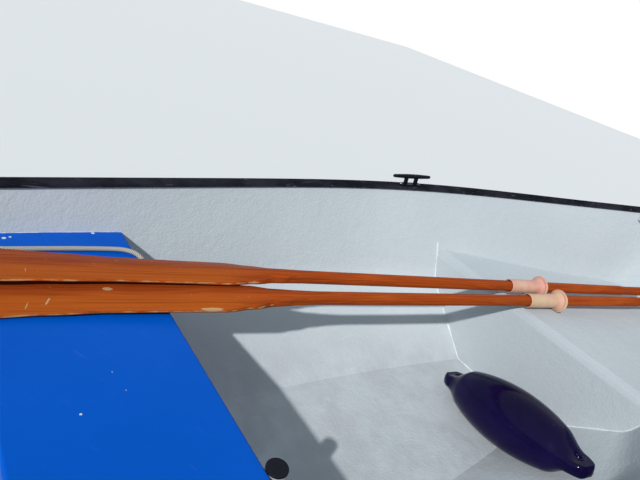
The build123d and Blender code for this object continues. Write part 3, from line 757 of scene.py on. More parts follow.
@dataclass
class Painter:
    """The braided rope from the side eye, over the thwart, to its coil on the floor under it."""

    diameter: float = 0.012
    sides: int = 28
    step: float = 0.0024
    strands: int = 7
    pitch: float = 0.052
    groove: float = 0.16
    # The route's points are those of the part's own cord.
    route: tuple[Point, ...] = (
        (-0.6858, 0.6032, 0.3520), (-0.6400, 0.6010, 0.3480), (-0.6000, 0.5920, 0.3400),
        (-0.5520, 0.5810, 0.3350), (-0.5020, 0.5720, 0.3320), (-0.4450, 0.5655, 0.3314),
        (-0.3850, 0.5610, 0.3314), (-0.3220, 0.5565, 0.3314), (-0.2640, 0.5510, 0.3314),
        (-0.2140, 0.5445, 0.3318), (-0.1750, 0.5340, 0.3340), (-0.1470, 0.5120, 0.3315),
        (-0.1350, 0.4840, 0.3140), (-0.1310, 0.4620, 0.2840), (-0.1320, 0.4400, 0.2500),
        (-0.1400, 0.4080, 0.2120), (-0.1580, 0.3680, 0.1760), (-0.1780, 0.3250, 0.1400),
        (-0.1980, 0.2840, 0.1060), (-0.2220, 0.2460, 0.0780), (-0.2520, 0.2140, 0.0620),
        (-0.2880, 0.1990, 0.0600))
    coil_middle: tuple[float, float] = (-0.330, 0.132)
    turn_points: int = 16
    wander: float = 0.0008
    hitch_turns: int = 3
    hitch_start: float = 0.012
    hitch_step: float = 0.0105
    hitch_radius: float = 0.0098
    hitch_lean: float = 0.002
    hitch_rope: float = 0.0052
    hitch_points: int = 40
    hitch_sides: int = 12
    # Where each turn of the coil lies: steps of one diameter out from the middle turn, and up.
    turns: tuple[tuple[int, int], ...] = (
        (1, 0), (1, 1), (0, 1), (-1, 1), (-1, 0), (0, 0), (-1, -1), (0, -1), (1, -1))

    def control_points(self) -> list[Vector]:
        """Returns the route's points and then those of the coil's turns."""
        low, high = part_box("painter_coil")
        middle_z = (low.z + high.z) / 2
        middle_radius = (high.x - low.x) / 2 - 1.5 * self.diameter
        centre = Vector((*self.coil_middle, 0.0))
        points = [Vector(point) for point in self.route]
        last = points[-1] - centre
        start = math.atan2(last.y, last.x)
        cells = [*self.turns, self.turns[-1]]
        total = len(self.turns) * self.turn_points
        for number in range(1, total - 3):
            turn, share = divmod(number / self.turn_points, 1.0)
            ease = max(0.0, share * 4 - 3)
            ease = ease * ease * (3 - 2 * ease)
            now, then = cells[int(turn)], cells[int(turn) + 1]
            out = now[0] + (then[0] - now[0]) * ease
            up = now[1] + (then[1] - now[1]) * ease
            radius = middle_radius + out * self.diameter + self.wander * math.sin(number * 0.83)
            angle = start + 2 * math.pi * number / self.turn_points
            points.append(centre + Vector((radius * math.cos(angle), radius * math.sin(angle),
                                           middle_z + up * self.diameter)))
        return points

    def spline_path(self) -> list[Vector]:
        """Reads the points of one smooth NURBS line through the control points."""
        curve = bpy.data.curves.new("painter_line", "CURVE")
        curve.dimensions = "3D"
        curve.resolution_u = 10
        spline = curve.splines.new("NURBS")
        controls = self.control_points()
        spline.points.add(len(controls) - 1)
        for target, point in zip(spline.points, controls):
            target.co = (*point, 1.0)
        spline.order_u = 3
        spline.use_endpoint_u = True
        holder = put("painter_line", curve)
        path = [vertex.co.copy() for vertex in worked_mesh(holder).vertices]
        bpy.data.objects.remove(holder)
        return path

    def relief_at(self, turn: float, along: float) -> float:
        """Height of the braid from 0 in a groove to 1 on a strand, at a share of the turn and a length."""
        run = along / self.pitch * self.strands
        a = turn * self.strands + run
        b = turn * self.strands - run
        over = (math.floor(a) + math.floor(b)) % 2 == 0
        first = abs(math.sin(math.pi * a))
        second = abs(math.sin(math.pi * b))
        top, under = (first, second) if over else (second, first)
        return max(top ** 0.7, 0.55 * under)

    def rope_rings(self, even: Sequence[Vector]) -> tuple[list[list[Vector]], list[list[float]]]:
        """Returns the rope's rings on evenly spaced points, and the relief of each of their points."""
        rings, reliefs = [], []
        radius = self.diameter / 2
        for number, (point, (across, up, _)) in enumerate(zip(even, frames_along(even))):
            ring, relief = [], []
            for j in range(self.sides):
                turn = j / self.sides
                height = self.relief_at(turn, number * self.step)
                reach = radius * (1 - self.groove * (1 - height))
                angle = 2 * math.pi * turn
                ring.append(point + across * (reach * math.cos(angle)) + up * (reach * math.sin(angle)))
                relief.append(height)
            rings.append(ring)
            reliefs.append(relief)
        return rings, reliefs

    def hitch(self, paints: Paints) -> bpy.types.Object:
        """The turns that make the rope fast to the ring of the side eye."""
        shell = Shell()
        start = Vector(self.route[0])
        ahead = (Vector(self.route[1]) - start).normalized()
        side = ahead.cross(Vector((0, 0, 1))).normalized()
        up = side.cross(ahead)
        count, sides = self.hitch_points, self.hitch_sides
        turns = [2 * math.pi * i / count for i in range(count)]
        # Painted strands on the smooth turns: every third point takes the strand colour, the others the
        # painted groove shade.
        wear_and_groove_shade = [[0.9 if (i + j) % 3 == 0 else 0.4 for j in range(sides)] for i in range(count)]
        for number in range(self.hitch_turns):
            middle = start + ahead * (self.hitch_start + self.hitch_step * number)
            loop = [middle + side * (self.hitch_radius * math.cos(t)) + up * (self.hitch_radius * math.sin(t))
                    + ahead * (self.hitch_lean * math.sin(t)) for t in turns]
            rings = []
            for i, point in enumerate(loop):
                forward = (loop[(i + 1) % count] - loop[i - 1]).normalized()
                out = (point - middle).normalized()
                out = (out - forward * out.dot(forward)).normalized()
                rings.append(circle(point, out, forward.cross(out), self.hitch_rope, sides))
            shell.loft(rings, wear_and_groove_shade=wear_and_groove_shade, loop=True)
        return shell.build("painter_hitch", paints, "rope")

    def build(self, paints: Paints) -> None:
        even = resample(self.spline_path(), self.step)
        rings, reliefs = self.rope_rings(even)
        shell = Shell()
        shell.loft(rings, wear_and_groove_shade=reliefs)
        rope = shell.build("painter_rope", paints, "rope", ["painter", "painter_coil"], sharp=180.0)
        hitch = self.hitch(paints)


def resample(path: Sequence[Vector], step: float) -> list[Vector]:
    """Returns points a step apart along a path, with its two ends."""
    out = [path[0].copy()]
    carried = 0.0
    for a, b in zip(path, path[1:]):
        run = (b - a).length
        while run > 0 and carried + run >= step:
            share = (step - carried) / run
            a = a + (b - a) * share
            out.append(a.copy())
            run = (b - a).length
            carried = 0.0
        carried += run
    if (out[-1] - path[-1]).length > step * 0.3:
        out.append(path[-1].copy())
    return out


@dataclass
class Oar:
    """One oar with its sleeve, made along +X from the blade's tip and then laid in place."""

    side: str
    tip: tuple[float, float]
    lift: float
    heading: float
    roll: float
    sleeve_finish: str
    shoulder_on: float = 0.0
    length: float = 2.195
    shaft_radius: float = 0.0177
    sleeve_end: float = 1.662
    sleeve_length: float = 0.146
    sleeve_radius: float = 0.0225
    rim_radius: float = 0.0375
    rim_width: float = 0.013
    inner_ring: float = 0.0035
    groove: float = 0.0015
    groove_depth: float = 0.005
    bore_gap: float = 0.0003
    rest_gap: float = 0.0001
    sides: int = 64
    sleeve_sides: int = 72
    grip_length: float = 0.145
    blade_end: float = 0.770
    # How the blade's section fills out: the power of its swell, and how fast and how round its edges are.
    swell: float = 1.35
    edge_speed: float = 4.5
    edge_power: float = 0.6
    # Where the wear is: over this share of the half width at one edge, and this far from the tip.
    worn_from: float = 0.984
    worn_tip: float = 0.030
    # Blade: distance from the tip, half width, half thickness at the edge and on the spine.
    blade: tuple[tuple[float, float, float, float], ...] = (
        (0.000, 0.0680, 0.0030, 0.0065), (0.050, 0.0755, 0.0033, 0.0075), (0.150, 0.0665, 0.0038, 0.0095),
        (0.270, 0.0580, 0.0040, 0.0115), (0.400, 0.0555, 0.0045, 0.0130), (0.520, 0.0550, 0.0050, 0.0150),
        (0.590, 0.0430, 0.0060, 0.0160), (0.650, 0.0280, 0.0090, 0.0168), (0.710, 0.0200, 0.0150, 0.0175),
        (0.770, 0.0177, 0.0177, 0.0177))
    # Grip: distance from its end and radius.
    grip: tuple[tuple[float, float], ...] = (
        (0.0, 0.0120), (0.012, 0.0165), (0.125, 0.0160), (0.140, 0.0177), (1.5, 0.0177))
    # The sleeve's open end: distance from its start, and radius over the body's.
    mouth: tuple[tuple[float, float], ...] = (
        (0.013, -0.0022), (0.0006, -0.0018), (0.0, -0.0010), (0.0006, -0.0002), (0.002, 0.0))
    # The flare to the rim: distance from the rim's start, and radius over the body's.
    flare: tuple[tuple[float, float], ...] = (
        (-0.016, 0.0), (-0.010, 0.0010), (-0.0055, 0.0035), (-0.0025, 0.0070))
    # The rim's inner ring: distance from the rim's start, and radius over the rim's.
    ring: tuple[tuple[float, float], ...] = ((-0.0005, -0.0058), (0.0010, -0.0048), (0.0022, -0.0052))

    def lay(self) -> Matrix:
        """Returns the matrix that lays the oar on the thwart and the bow platform."""
        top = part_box("thwart")[1].z
        tip_z = top + self.lift
        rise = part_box("bow_platform")[1].z + self.rest_gap + self.rim_radius - tip_z
        pitch = math.asin(rise / (self.sleeve_end - self.ring_half()))
        return (Matrix.Translation((self.tip[0], self.tip[1], tip_z))
                @ Matrix.Rotation(math.radians(self.heading), 4, "Z")
                @ Matrix.Rotation(-pitch, 4, "Y") @ Matrix.Rotation(math.radians(self.roll), 4, "X"))

    def ring_half(self) -> float:
        """Half the width of the rim's outer ring."""
        return (self.rim_width - self.inner_ring - self.groove) / 2

    def section(self, x: float) -> tuple[list[Vector], list[float]]:
        """Returns one ring of the oar at a distance from the tip, and its wear."""
        along = x - self.shoulder_on * max(0.0, min(1.0, x / 0.35, (self.blade_end - x) / 0.06))
        width, edge, spine = profile_at(self.blade, along)
        if x > self.blade_end:
            width = edge = spine = profile_at(self.grip, self.length - x)[0]
        ring, wear_and_groove_shade = [], []
        blade_share = max(0.0, min(1.0, (self.blade_end - x) / 0.15))
        for j in range(self.sides):
            t = 2 * math.pi * j / self.sides
            c, s = math.cos(t), math.sin(t)
            lens = edge + (spine - edge) * (1 - abs(c) ** self.swell)
            flat = lens * math.copysign(min(1.0, abs(s) * self.edge_speed) ** self.edge_power, s)
            z = flat * blade_share + spine * s * (1 - blade_share)
            ring.append(Vector((x, width * c, z)))
            rim = max(0.0, (-c - self.worn_from) / (1 - self.worn_from)) * blade_share
            tip = max(0.0, 1 - x / self.worn_tip)
            wear_and_groove_shade.append(min(1.0, 0.66 * rim + 0.7 * tip))
        return ring, wear_and_groove_shade

    def stations(self) -> list[float]:
        """Returns the distances of the rings from the tip, closer where the form changes."""
        grip = self.length - self.grip_length
        marks = [(0.0, 0.06, 12), (0.06, 0.52, 46), (0.52, self.blade_end, 40), (self.blade_end, grip, 90),
                 (grip, grip + 0.025, 12), (grip + 0.025, self.length - 0.013, 12),
                 (self.length - 0.013, self.length, 8)]
        out = [0.0]
        for low, high, count in marks:
            out.extend(low + (high - low) * (i + 1) / count for i in range(count))
        return out

    def sleeve_outline(self) -> list[tuple[float, float]]:
        """Returns the sleeve's section: an open tube end, its body, the flare and the rim's two rings."""
        start = self.sleeve_end - self.sleeve_length
        rim = self.sleeve_end - self.rim_width
        bore = self.shaft_radius + self.bore_gap
        half = self.ring_half()
        foot = self.rim_radius - half
        lip = self.sleeve_end - half
        trough = rim + self.inner_ring
        out = [(start + 0.016, bore)]
        out += [(start + x, self.sleeve_radius + r) for x, r in self.mouth]
        out += [(rim + x, self.sleeve_radius + r) for x, r in self.flare]
        out += [(rim + x, self.rim_radius + r) for x, r in self.ring]
        out += [(x, foot - self.groove_depth) for x in (trough, trough + self.groove)]
        for i in range(9):
            t = math.pi * (1 - i / 8)
            out.append((lip + half * math.cos(t), foot + half * math.sin(t)))
        out.append((self.sleeve_end, bore))
        return out

    def build(self, paints: Paints) -> None:
        """Makes the oar and its sleeve."""
        place = self.lay()
        rings, wear_and_groove_shade = zip(*[self.section(x) for x in self.stations()])
        shell = Shell()
        shell.loft(list(rings), wear_and_groove_shade=list(wear_and_groove_shade))
        shell.move(place)
        name = "oar_" + self.side
        shell.build(name + "_wood", paints, name, [name], sharp=60.0)
        shell = Shell()
        rings = [circle(Vector((x, 0, 0)), Vector((0, 1, 0)), Vector((0, 0, 1)), r, self.sleeve_sides)
                 for x, r in self.sleeve_outline()]
        shell.loft(rings, loop=True)
        shell.move(place)
        shell.build("oar_sleeve_" + self.side + "_plastic", paints, self.sleeve_finish,
                    ["oar_sleeve_" + self.side], sharp=50.0)


@dataclass
class Fender:
    """The inflated fender with a flat holed end at each side, made along X and laid as the CAD one is."""

    body_half: float = 0.235
    overall: float = 0.520
    radius: float = 0.089
    nose_radius: float = 0.044
    tab_half: float = 0.043
    tab_thickness: float = 0.034
    hole_radius: float = 0.011
    nose_round: float = 0.024
    edge_round: float = 0.010
    flatten_before: float = 0.055
    flatten_after: float = 0.004
    sides: int = 72
    stations: int = 60
    eyelet_radius: float = 0.0035
    eyelet_out: float = 0.003
    eyelet_sink: float = 0.0004
    eyelet_points: int = 40
    middle: Point = (0.7190, -0.1694, 0.1511)
    turn: float = -101.4
    lean: float = 16.4

    def section(self, x: float) -> list[Vector]:
        """Returns one ring: round over the body and a rounded slab at the flat ends."""
        half = self.overall / 2
        away = abs(x)
        nose = self.body_half - self.nose_round
        sag = self.radius - self.nose_radius
        bend = (nose * nose + sag * sag) / (2 * sag)
        body = self.radius - bend + math.sqrt(max(bend * bend - min(away, nose) ** 2, 0.0))
        share = profile_at([(nose - self.flatten_before, 0.0),
                            (self.body_half + self.flatten_after, 1.0)], away)[0]
        tab_x = half - self.tab_half
        wide = self.tab_half
        if away > tab_x:
            wide = math.sqrt(max(self.tab_half ** 2 - (away - tab_x) ** 2, 0.0))
        thick = self.tab_thickness / 2
        edge = min(1.0, (half - away) / self.edge_round)
        thick *= math.sqrt(max(0.0, 1 - (1 - edge) ** 2)) if away > half - self.edge_round else 1.0
        ring = []
        for j in range(self.sides):
            t = 2 * math.pi * j / self.sides
            c, s = math.cos(t), math.sin(t)
            flat_y = wide * math.copysign(abs(c) ** 0.8, c)
            flat_z = thick * math.copysign(min(1.0, abs(s) * 1.5) ** 0.7, s)
            ring.append(Vector((x, body * c + (flat_y - body * c) * share,
                                body * s + (flat_z - body * s) * share)))
        return ring

    def build(self, paints: Paints) -> None:
        """Makes the body with its flat ends, and the eyelets in them."""
        place = (Matrix.Translation(self.middle) @ Matrix.Rotation(math.radians(self.turn), 4, "Z")
                 @ Matrix.Rotation(math.radians(-self.lean), 4, "Y"))
        half = self.overall / 2
        shell = Shell()
        marks = [half * math.sin(math.pi / 2 * i / self.stations) for i in range(self.stations)]
        marks.append(half - 0.0002)
        shell.loft([self.section(x) for x in [-m for m in reversed(marks)] + marks[1:]])
        shell.move(place)
        body = self.pierced(shell.plain("fender_vinyl", 60.0), place)
        settle(body, paints, "vinyl", ["fender"])
        rims = Shell()
        turns = [2 * math.pi * i / self.eyelet_points for i in range(self.eyelet_points)]
        outs = [Vector((math.cos(t), math.sin(t), 0)) for t in turns]
        for side in (-1, 1):
            for face in (-1, 1):
                level = Vector((side * (half - self.tab_half), 0,
                                face * (self.tab_thickness / 2 - self.eyelet_sink)))
                rims.loft([circle(level + out * (self.hole_radius + self.eyelet_out), out, Vector((0, 0, 1)),
                                  self.eyelet_radius, 14)[::-1] for out in outs], loop=True)
        rims.move(place)
        rims.build("fender_eyelets", paints, "vinyl", sharp=180.0)

    def pierced(self, body: bpy.types.Object, place: Matrix) -> bpy.types.Object:
        """Cuts the hole through each flat end and returns the body as a plain mesh."""
        drill = Shell()
        for side in (-1, 1):
            x = side * (self.overall / 2 - self.tab_half)
            drill.loft([circle(Vector((x, 0, z)), Vector((1, 0, 0)), Vector((0, 1, 0)), self.hole_radius, 32)
                        for z in (-self.tab_thickness, self.tab_thickness)])
        drill.move(place)
        tool = drill.plain("fender_drill", 30.0)
        cut = body.modifiers.new("holes", "BOOLEAN")
        cut.operation = "DIFFERENCE"
        cut.solver = "EXACT"
        cut.object = tool
        mesh = worked_mesh(body)
        body.modifiers.remove(cut)
        body.data = mesh
        bpy.data.objects.remove(tool)
        return body


@dataclass
class Bonding:
    """Hand-laid fillets of filler where seats and bulkheads meet the hull."""

    leg: float = 0.0042
    steps: int = 90
    first_angle: float = 8.0
    last_angle: float = -188.0
    ray_drop: float = 0.04
    clearance: float = 0.0002
    sink: float = 0.0006
    tuck: float = 0.0003
    hollow: float = 0.12
    # How the leg wanders: its mean, and the share and fineness of a broad and a fine unevenness.
    mean: float = 0.65
    broad: tuple[float, float] = (0.70, 40.0)
    fine: tuple[float, float] = (0.35, 140.0)
    least: float = 0.35
    thwart_inset: float = 0.004
    thwart_share: float = 0.35

    def seam(self, skin: Skin, origin: Point) -> list[tuple[Vector, Vector]]:
        """Follows the hull's inside round a point, and returns the points met with the hull's normals."""
        out = []
        for i in range(self.steps + 1):
            angle = math.radians(self.first_angle + (self.last_angle - self.first_angle) * i / self.steps)
            met = skin.hit(origin, (0, math.cos(angle), math.sin(angle)))
            if met:
                out.append(met)
        return out

    def fillet(self, name: str, paints: Paints, seam: Sequence[tuple[Vector, Vector]], face: Vector,
               share: float = 1.0) -> None:
        """Sweeps a hollow fillet along a seam.

        Args:
            name: the piece's name.
            paints: the materials.
            seam: points and hull normals.
            face: the way the other surface faces.
            share: its size, as a share of the full leg.
        """
        rings = []
        for number, (point, normal) in enumerate(seam):
            along = seam[min(number + 1, len(seam) - 1)][0] - seam[max(number - 1, 0)][0]
            along.normalize()
            out_hull = (face - normal * face.dot(normal)).normalized()
            out_face = (normal - face * normal.dot(face)).normalized()
            wander = sum(part * noise.noise(point * scale) for part, scale in (self.broad, self.fine))
            leg = self.leg * share * max(self.least, self.mean + wander)
            corner = point - (normal + face).normalized() * self.sink
            a = point + out_hull * leg - normal * self.tuck
            b = point + out_face * leg - face * self.tuck
            ring = [corner, a]
            for t in (0.25, 0.5, 0.75):
                middle = point + (out_hull + out_face) * leg * self.hollow
                ring.append(a * (1 - t) ** 2 + middle * 2 * t * (1 - t) + b * t * t)
            ring.append(b)
            rings.append(ring)
        shell = Shell()
        shell.loft(rings)
        shell.build(name, paints, "bonding", sharp=50.0)

    def build(self, paints: Paints) -> None:
        """Lays the fillets of the bow bulkhead, the stern bulkhead and the thwart's ends."""
        skin = Skin("hull")
        for node, ahead, name in (("bow_platform", -1, "bow"), ("stern_bench", 1, "stern")):
            low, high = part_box(node)
            x = (low.x if ahead < 0 else high.x) + ahead * self.clearance
            round_seam = self.seam(skin, (x, 0, high.z - self.ray_drop))
            self.fillet(f"bonding_{name}_bulkhead", paints, round_seam, Vector((ahead, 0, 0)))
        low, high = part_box("thwart")
        for side, name in ((1, "port"), (-1, "starboard")):
            edge = []
            for i in range(self.steps + 1):
                x = low.x + self.thwart_inset + (high.x - low.x - 2 * self.thwart_inset) * i / self.steps
                met = skin.hit((x, 0, high.z + self.clearance), (0, side, 0))
                if met:
                    edge.append(met)
            self.fillet("bonding_thwart_" + name, paints, edge, Vector((0, 0, 1)), self.thwart_share)


@dataclass(frozen=True)
class Seat:
    """Where one fastener sits and which way its head faces."""

    point: Vector
    aim: Vector


class Fasteners:
    """Screw heads of one size, placed by a Geometry Nodes tree and made one plain mesh."""

    def __init__(self, name: str, radius: float, finish: str, seed: int) -> None:
        """Keeps the name, head radius in metres, finish and the seed of the slots' turns."""
        self.name = name
        self.radius = radius
        self.finish = finish
        self.seed = seed
        self.seats: list[Seat] = []

    def add(self, met: tuple[Vector, Vector] | None) -> None:
        """Adds a seat where a ray met a surface."""
        if met:
            self.seats.append(Seat(*met))

    @staticmethod
    def head_mesh() -> bpy.types.Mesh:
        """A pan head of radius 1 with a cross recess."""
        shell = Shell()
        rings = [circle(Vector((0, 0, z)), Vector((1, 0, 0)), Vector((0, 1, 0)), radius, 16)
                 for radius, z in ((1.0, -0.15), (1.0, 0.12), (0.86, 0.34), (0.58, 0.46))]
        for z in (0.47, 0.20):
            cross = []
            for j in range(16):
                reach = 0.42 if j % 4 == 0 else 0.13 if j % 4 == 2 else 0.20
                angle = 2 * math.pi * j / 16
                cross.append(Vector((reach * math.cos(angle), reach * math.sin(angle), z)))
            rings.append(cross)
        shell.loft(rings)
        mesh = bpy.data.meshes.new("screw_head")
        mesh.from_pydata(shell.points, [], shell.faces)
        mesh.update()
        return mesh

    def tree(self) -> bpy.types.NodeTree:
        """Builds the tree: a head on each point, aimed by the point's aim and turned at random."""
        tree = bpy.data.node_groups.new("fasteners_" + self.name, "GeometryNodeTree")
        inputs = {"Geometry": "Geometry", "Head": "Object", "Head Radius": "Float", "Seed": "Int",
                  "Finish": "Material"}
        for key, kind in inputs.items():
            tree.interface.new_socket(key, in_out="INPUT", socket_type="NodeSocket" + kind)
        tree.interface.new_socket("Geometry", in_out="OUTPUT", socket_type="NodeSocketGeometry")
        sheet = NodeSheet(tree)
        start = sheet.node("NodeGroupInput").outputs
        points = sheet.node("GeometryNodeMeshToPoints", {"Mesh": start["Geometry"]})
        head = sheet.node("GeometryNodeObjectInfo", {"Object": start["Head"]})
        aim = sheet.node("GeometryNodeInputNamedAttribute", {"Name": "aim"}, data_type="FLOAT_VECTOR")
        align = sheet.node("FunctionNodeAlignRotationToVector", {"Vector": aim.outputs["Attribute"]},
                           axis="Z")
        turn = sheet.node("FunctionNodeRandomValue", {"Seed": start["Seed"], 3: 2 * math.pi},
                          data_type="FLOAT")
        spin = sheet.node("FunctionNodeAxisAngleToRotation", {"Angle": turn.outputs[1]})
        both = sheet.node("FunctionNodeRotateRotation", {"Rotation": align.outputs[0],
                                                         "Rotate By": spin.outputs[0]},
                          rotation_space="LOCAL")
        heads = sheet.node("GeometryNodeInstanceOnPoints", {
            "Points": points.outputs[0], "Instance": head.outputs["Geometry"], "Rotation": both.outputs[0],
            "Scale": start["Head Radius"]})
        real = sheet.node("GeometryNodeRealizeInstances", {0: heads.outputs[0]})
        dressed = sheet.node("GeometryNodeSetMaterial", {"Geometry": real.outputs[0],
                                                         "Material": start["Finish"]})
        sheet.node("NodeGroupOutput", {0: dressed.outputs[0]})
        return tree

    def build(self, paints: Paints) -> bpy.types.Object:
        """Places the heads and turns them into one plain mesh."""
        holder = bpy.data.objects.new("screw_head", self.head_mesh())
        cloud = bpy.data.meshes.new(self.name + "_points")
        cloud.from_pydata([seat.point for seat in self.seats], [], [])
        aims = cloud.attributes.new("aim", "FLOAT_VECTOR", "POINT")
        aims.data.foreach_set("vector", [c for seat in self.seats for c in seat.aim])
        made = put(self.name + "_points", cloud)
        modifier = made.modifiers.new("fasteners", "NODES")
        modifier.node_group = self.tree()
        values = {"Head": holder, "Head Radius": self.radius, "Seed": self.seed,
                  "Finish": paints.get(self.finish)}
        for item in modifier.node_group.interface.items_tree:
            if item.name in values:
                modifier[item.identifier] = values[item.name]
        mesh = worked_mesh(made)
        mesh.name = self.name
        made.modifiers.remove(modifier)
        bpy.data.objects.remove(made)
        bpy.data.objects.remove(holder)
        return settle(put(self.name, mesh), paints, self.finish)


def skin_and_box(node: str) -> tuple[Skin, Vector, Vector]:
    """Returns a CAD node's surface and the two corners of its box."""
    return Skin(node), *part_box(node)


@dataclass
class Hardware:
    """All the small screws, seated on the CAD by rays."""

    fitting_radius: float = 0.0038
    strip_radius: float = 0.0042
    strip_step: float = 0.20
    strip_ends: tuple[float, float] = (0.12, 0.16)
    strip_middle: float = 0.014
    strip_search: tuple[int, int, int] = (140, 760, 10)     # millimetres from the middle of the boat
    cleat_lean: float = 16.0
    cleat_base: float = 0.012
    cleat_reach: float = 0.034
    socket_reach: float = 0.036
    knee_inset: float = 0.05
    knee_shares: tuple[float, float] = (0.30, 0.62)
    hook_inset: float = 0.10
    hook_reach: float = 0.06
    board_inset: tuple[float, float] = (0.03, 0.02)
    eye_inset: float = 0.008
    above: float = 1.2
    ahead_of_board: float = 0.4
    inboard: float = 0.3

    def build(self, paints: Paints) -> None:
        """Seats and makes each kind of screw."""
        small = Fasteners("fitting_screws", self.fitting_radius, "metal", 3)
        rubber = Fasteners("gunwale_screws", self.strip_radius, "metal", 7)
        for side, name in ((1, "port"), (-1, "starboard")):
            self.fasten_strip(rubber, side, name)
            self.fasten_fittings(small, side, name)
        hook, _, high = skin_and_box("breasthook")
        for y in (-self.hook_reach, 0.0, self.hook_reach):
            small.add(hook.hit((high.x - self.hook_inset - abs(y), y, self.above), DOWN))
        board, low, high = skin_and_box("transom_board")
        across, up = self.board_inset
        for y in (low.y + across, high.y - across):
            for z in (low.z + up, high.z - up):
                small.add(board.hit((high.x + self.ahead_of_board, y, z), (-1, 0, 0)))
        plate, low, high = skin_and_box("side_eye")
        for x in (low.x + self.eye_inset, high.x - self.eye_inset):
            small.add(plate.hit((x, self.inboard, (low.z + high.z) / 2), (0, 1, 0)))
        for kind in (small, rubber):
            kind.build(paints)

    def fasten_strip(self, screws: Fasteners, side: int, name: str) -> None:
        """Seats a row of screws in the outer face of one gunwale strip."""
        strip, low, high = skin_and_box("gunwale_strip_" + name)
        x = low.x + self.strip_ends[0]
        while x < high.x - self.strip_ends[1]:
            screws.add(strip.hit((x, side * self.above, self.edge_height(strip, x, side)), (0, -side, 0)))
            x += self.strip_step

    def fasten_fittings(self, screws: Fasteners, side: int, name: str) -> None:
        """Seats the screws of one side's cleat, rowlock socket and quarter knee."""
        cleat, low, high = skin_and_box("cleat_" + name)
        centre = (low + high) / 2
        lean = math.radians(-side * self.cleat_lean)
        for reach in (-self.cleat_reach, self.cleat_reach):
            screws.add(cleat.hit((centre.x + reach * math.cos(lean), centre.y + reach * math.sin(lean),
                                  low.z + self.cleat_base), DOWN))
        socket, low, high = skin_and_box("rowlock_socket_" + name)
        centre = (low + high) / 2
        for reach in (-self.socket_reach, self.socket_reach):
            screws.add(socket.hit((centre.x + reach, centre.y, self.above), DOWN))
        knee, low, high = skin_and_box("quarter_knee_" + name)
        y = side * (max(abs(low.y), abs(high.y)) - self.knee_inset)
        for share in self.knee_shares:
            screws.add(knee.hit((low.x + (high.x - low.x) * share, y, self.above), DOWN))

    def edge_height(self, strip: Skin, x: float, side: int) -> float:
        """Height of the middle of the strip's outer face at x, found from its top."""
        for share in range(*self.strip_search):
            met = strip.hit((x, side * share / 1000.0, self.above), DOWN)
            if met:
                return met[0].z - self.strip_middle
        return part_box("gunwale_strip_port")[0].z


# Which finish each CAD node that stays shown takes.
NODE_FINISHES = {
    "laminate": ("hull", "bow_platform", "stern_bench", "keel", "bilge_runner_port", "bilge_runner_starboard",
                 "breasthook", "quarter_knee_port", "quarter_knee_starboard", "thwart_ledge_port",
                 "thwart_ledge_starboard"),
    "seat": ("thwart",),
    "tube": ("post",),
    "nylon": ("post_cap", "cleat_port", "cleat_starboard", "drain_plug"),
    "rubber": ("gunwale_strip_port", "gunwale_strip_starboard", "transom_cap"),
    "board": ("rowlock_block_port", "rowlock_block_starboard", "transom_board"),
    "metal": ("rowlock_socket_port", "rowlock_socket_starboard", "rowlock_port", "rowlock_starboard",
              "bow_eye", "stern_eye_port", "stern_eye_starboard", "side_eye"),
}


def dress_nodes(paints: Paints) -> None:
    """Gives each CAD node that stays shown its finish."""
    for finish, nodes in NODE_FINISHES.items():
        for name in nodes:
            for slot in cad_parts[name].material_slots:
                slot.material = paints.get(finish)
    LOG.info("finishes on %d CAD nodes", sum(len(nodes) for nodes in NODE_FINISHES.values()))


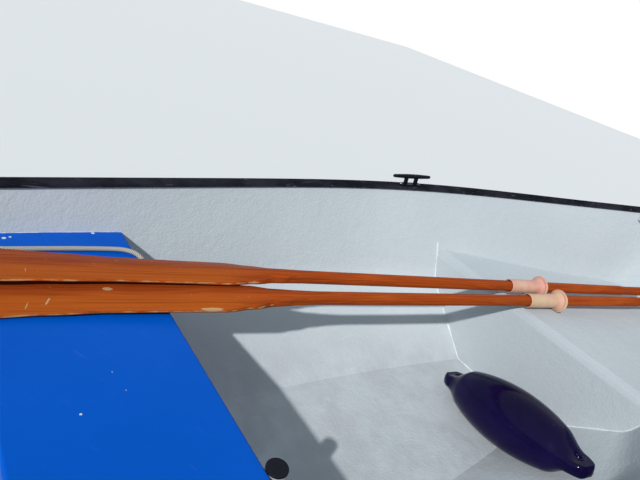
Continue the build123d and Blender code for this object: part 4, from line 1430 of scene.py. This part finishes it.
@dataclass
class Studio:
    """The floor, the lights and the camera at the photograph's viewing angle."""

    camera_at: Point = (-0.615, -0.618, 1.054)
    yaw: float = 42.90
    pitch: float = -24.54
    roll: float = 18.50
    focal_pixels: float = 526.51
    image_width: float = 640.0
    sensor: float = 36.0
    sun_towards: Point = (1.27, 0.65, -1.0)
    sun_strength: float = 3.3
    sun_angle: float = 1.5
    sky: float = 0.42
    sky_colour: Colour = (0.72, 0.87, 1.0)
    floor_size: float = 30.0
    floor_colour: Colour = (0.78, 0.78, 0.77)

    def camera(self) -> None:
        """Makes the camera from its place, its three angles and its focal length in pixels."""
        yaw, pitch, roll = (math.radians(a) for a in (self.yaw, self.pitch, self.roll))
        ahead = Vector((math.sin(yaw) * math.cos(pitch), math.cos(yaw) * math.cos(pitch), math.sin(pitch)))
        level = Vector((math.cos(yaw), -math.sin(yaw), 0.0))
        upright = level.cross(ahead)
        right = level * math.cos(roll) + upright * math.sin(roll)
        up = upright * math.cos(roll) - level * math.sin(roll)
        lens = bpy.data.cameras.new("camera")
        lens.sensor_width = self.sensor
        lens.lens = self.focal_pixels * self.sensor / self.image_width
        lens.clip_start = 0.02
        holder = put("camera", lens)
        axes = Matrix((right, up, -ahead)).transposed().to_4x4()
        holder.matrix_world = Matrix.Translation(self.camera_at) @ axes
        bpy.context.scene.camera = holder

    def floor(self) -> None:
        """Makes the pale floor, which keeps the boat's shadow."""
        half = self.floor_size / 2
        mesh = bpy.data.meshes.new("floor")
        mesh.from_pydata([(-half, -half, 0), (half, -half, 0), (half, half, 0), (-half, half, 0)], [],
                         [(0, 1, 2, 3)])
        material = bpy.data.materials.new("floor")
        material.use_nodes = True
        shader = material.node_tree.nodes["Principled BSDF"]
        shader.inputs["Base Color"].default_value = (*self.floor_colour, 1)
        shader.inputs["Roughness"].default_value = 0.9
        mesh.materials.append(material)
        put("floor", mesh)

    def light(self) -> None:
        """Makes the main light, low and from astern, and the sky, which the camera sees as white."""
        lamp = bpy.data.lights.new("main_light", "SUN")
        lamp.energy = self.sun_strength
        lamp.angle = math.radians(self.sun_angle)
        holder = put("main_light", lamp)
        holder.rotation_euler = Vector(self.sun_towards).to_track_quat("-Z", "Y").to_euler()
        world = bpy.data.worlds.new("sky")
        bpy.context.scene.world = world
        world.use_nodes = True
        world.node_tree.nodes.clear()
        sheet = NodeSheet(world.node_tree)
        rays = sheet.node("ShaderNodeLightPath").outputs
        seen = sheet.math("MAXIMUM", rays["Is Camera Ray"], rays["Is Glossy Ray"])
        seen = sheet.math("MAXIMUM", seen, rays["Is Transmission Ray"])
        soft = sheet.node("ShaderNodeBackground", {"Color": (*self.sky_colour, 1), "Strength": self.sky})
        white = sheet.node("ShaderNodeBackground", {"Color": (1, 1, 1, 1), "Strength": 1.0})
        both = sheet.node("ShaderNodeMixShader", {0: seen, 1: soft.outputs[0], 2: white.outputs[0]})
        sheet.node("ShaderNodeOutputWorld", {0: both.outputs[0]})
        bpy.context.scene.view_settings.view_transform = "Standard"

    def build(self) -> None:
        """Makes the camera, floor and lights."""
        self.camera()
        self.floor()
        self.light()


def main() -> None:
    """Builds the studio and then each sub-assembly."""
    logging.basicConfig(level=logging.INFO, format="%(message)s")
    Studio().build()
    paints = Paints()
    Painter().build(paints)
    Oar(side="starboard", tip=(-0.5305, 0.4010), lift=0.0066, heading=-13.60, roll=0.4,
        sleeve_finish="cream").build(paints)
    Oar(side="port", tip=(-0.5265, 0.4794), lift=0.0306, heading=-13.53, roll=-7.2,
        sleeve_finish="pinker_cream", shoulder_on=0.034, length=2.225).build(paints)
    Fender().build(paints)
    Bonding().build(paints)
    Hardware().build(paints)
    dress_nodes(paints)


if __name__ == "__main__":
    main()
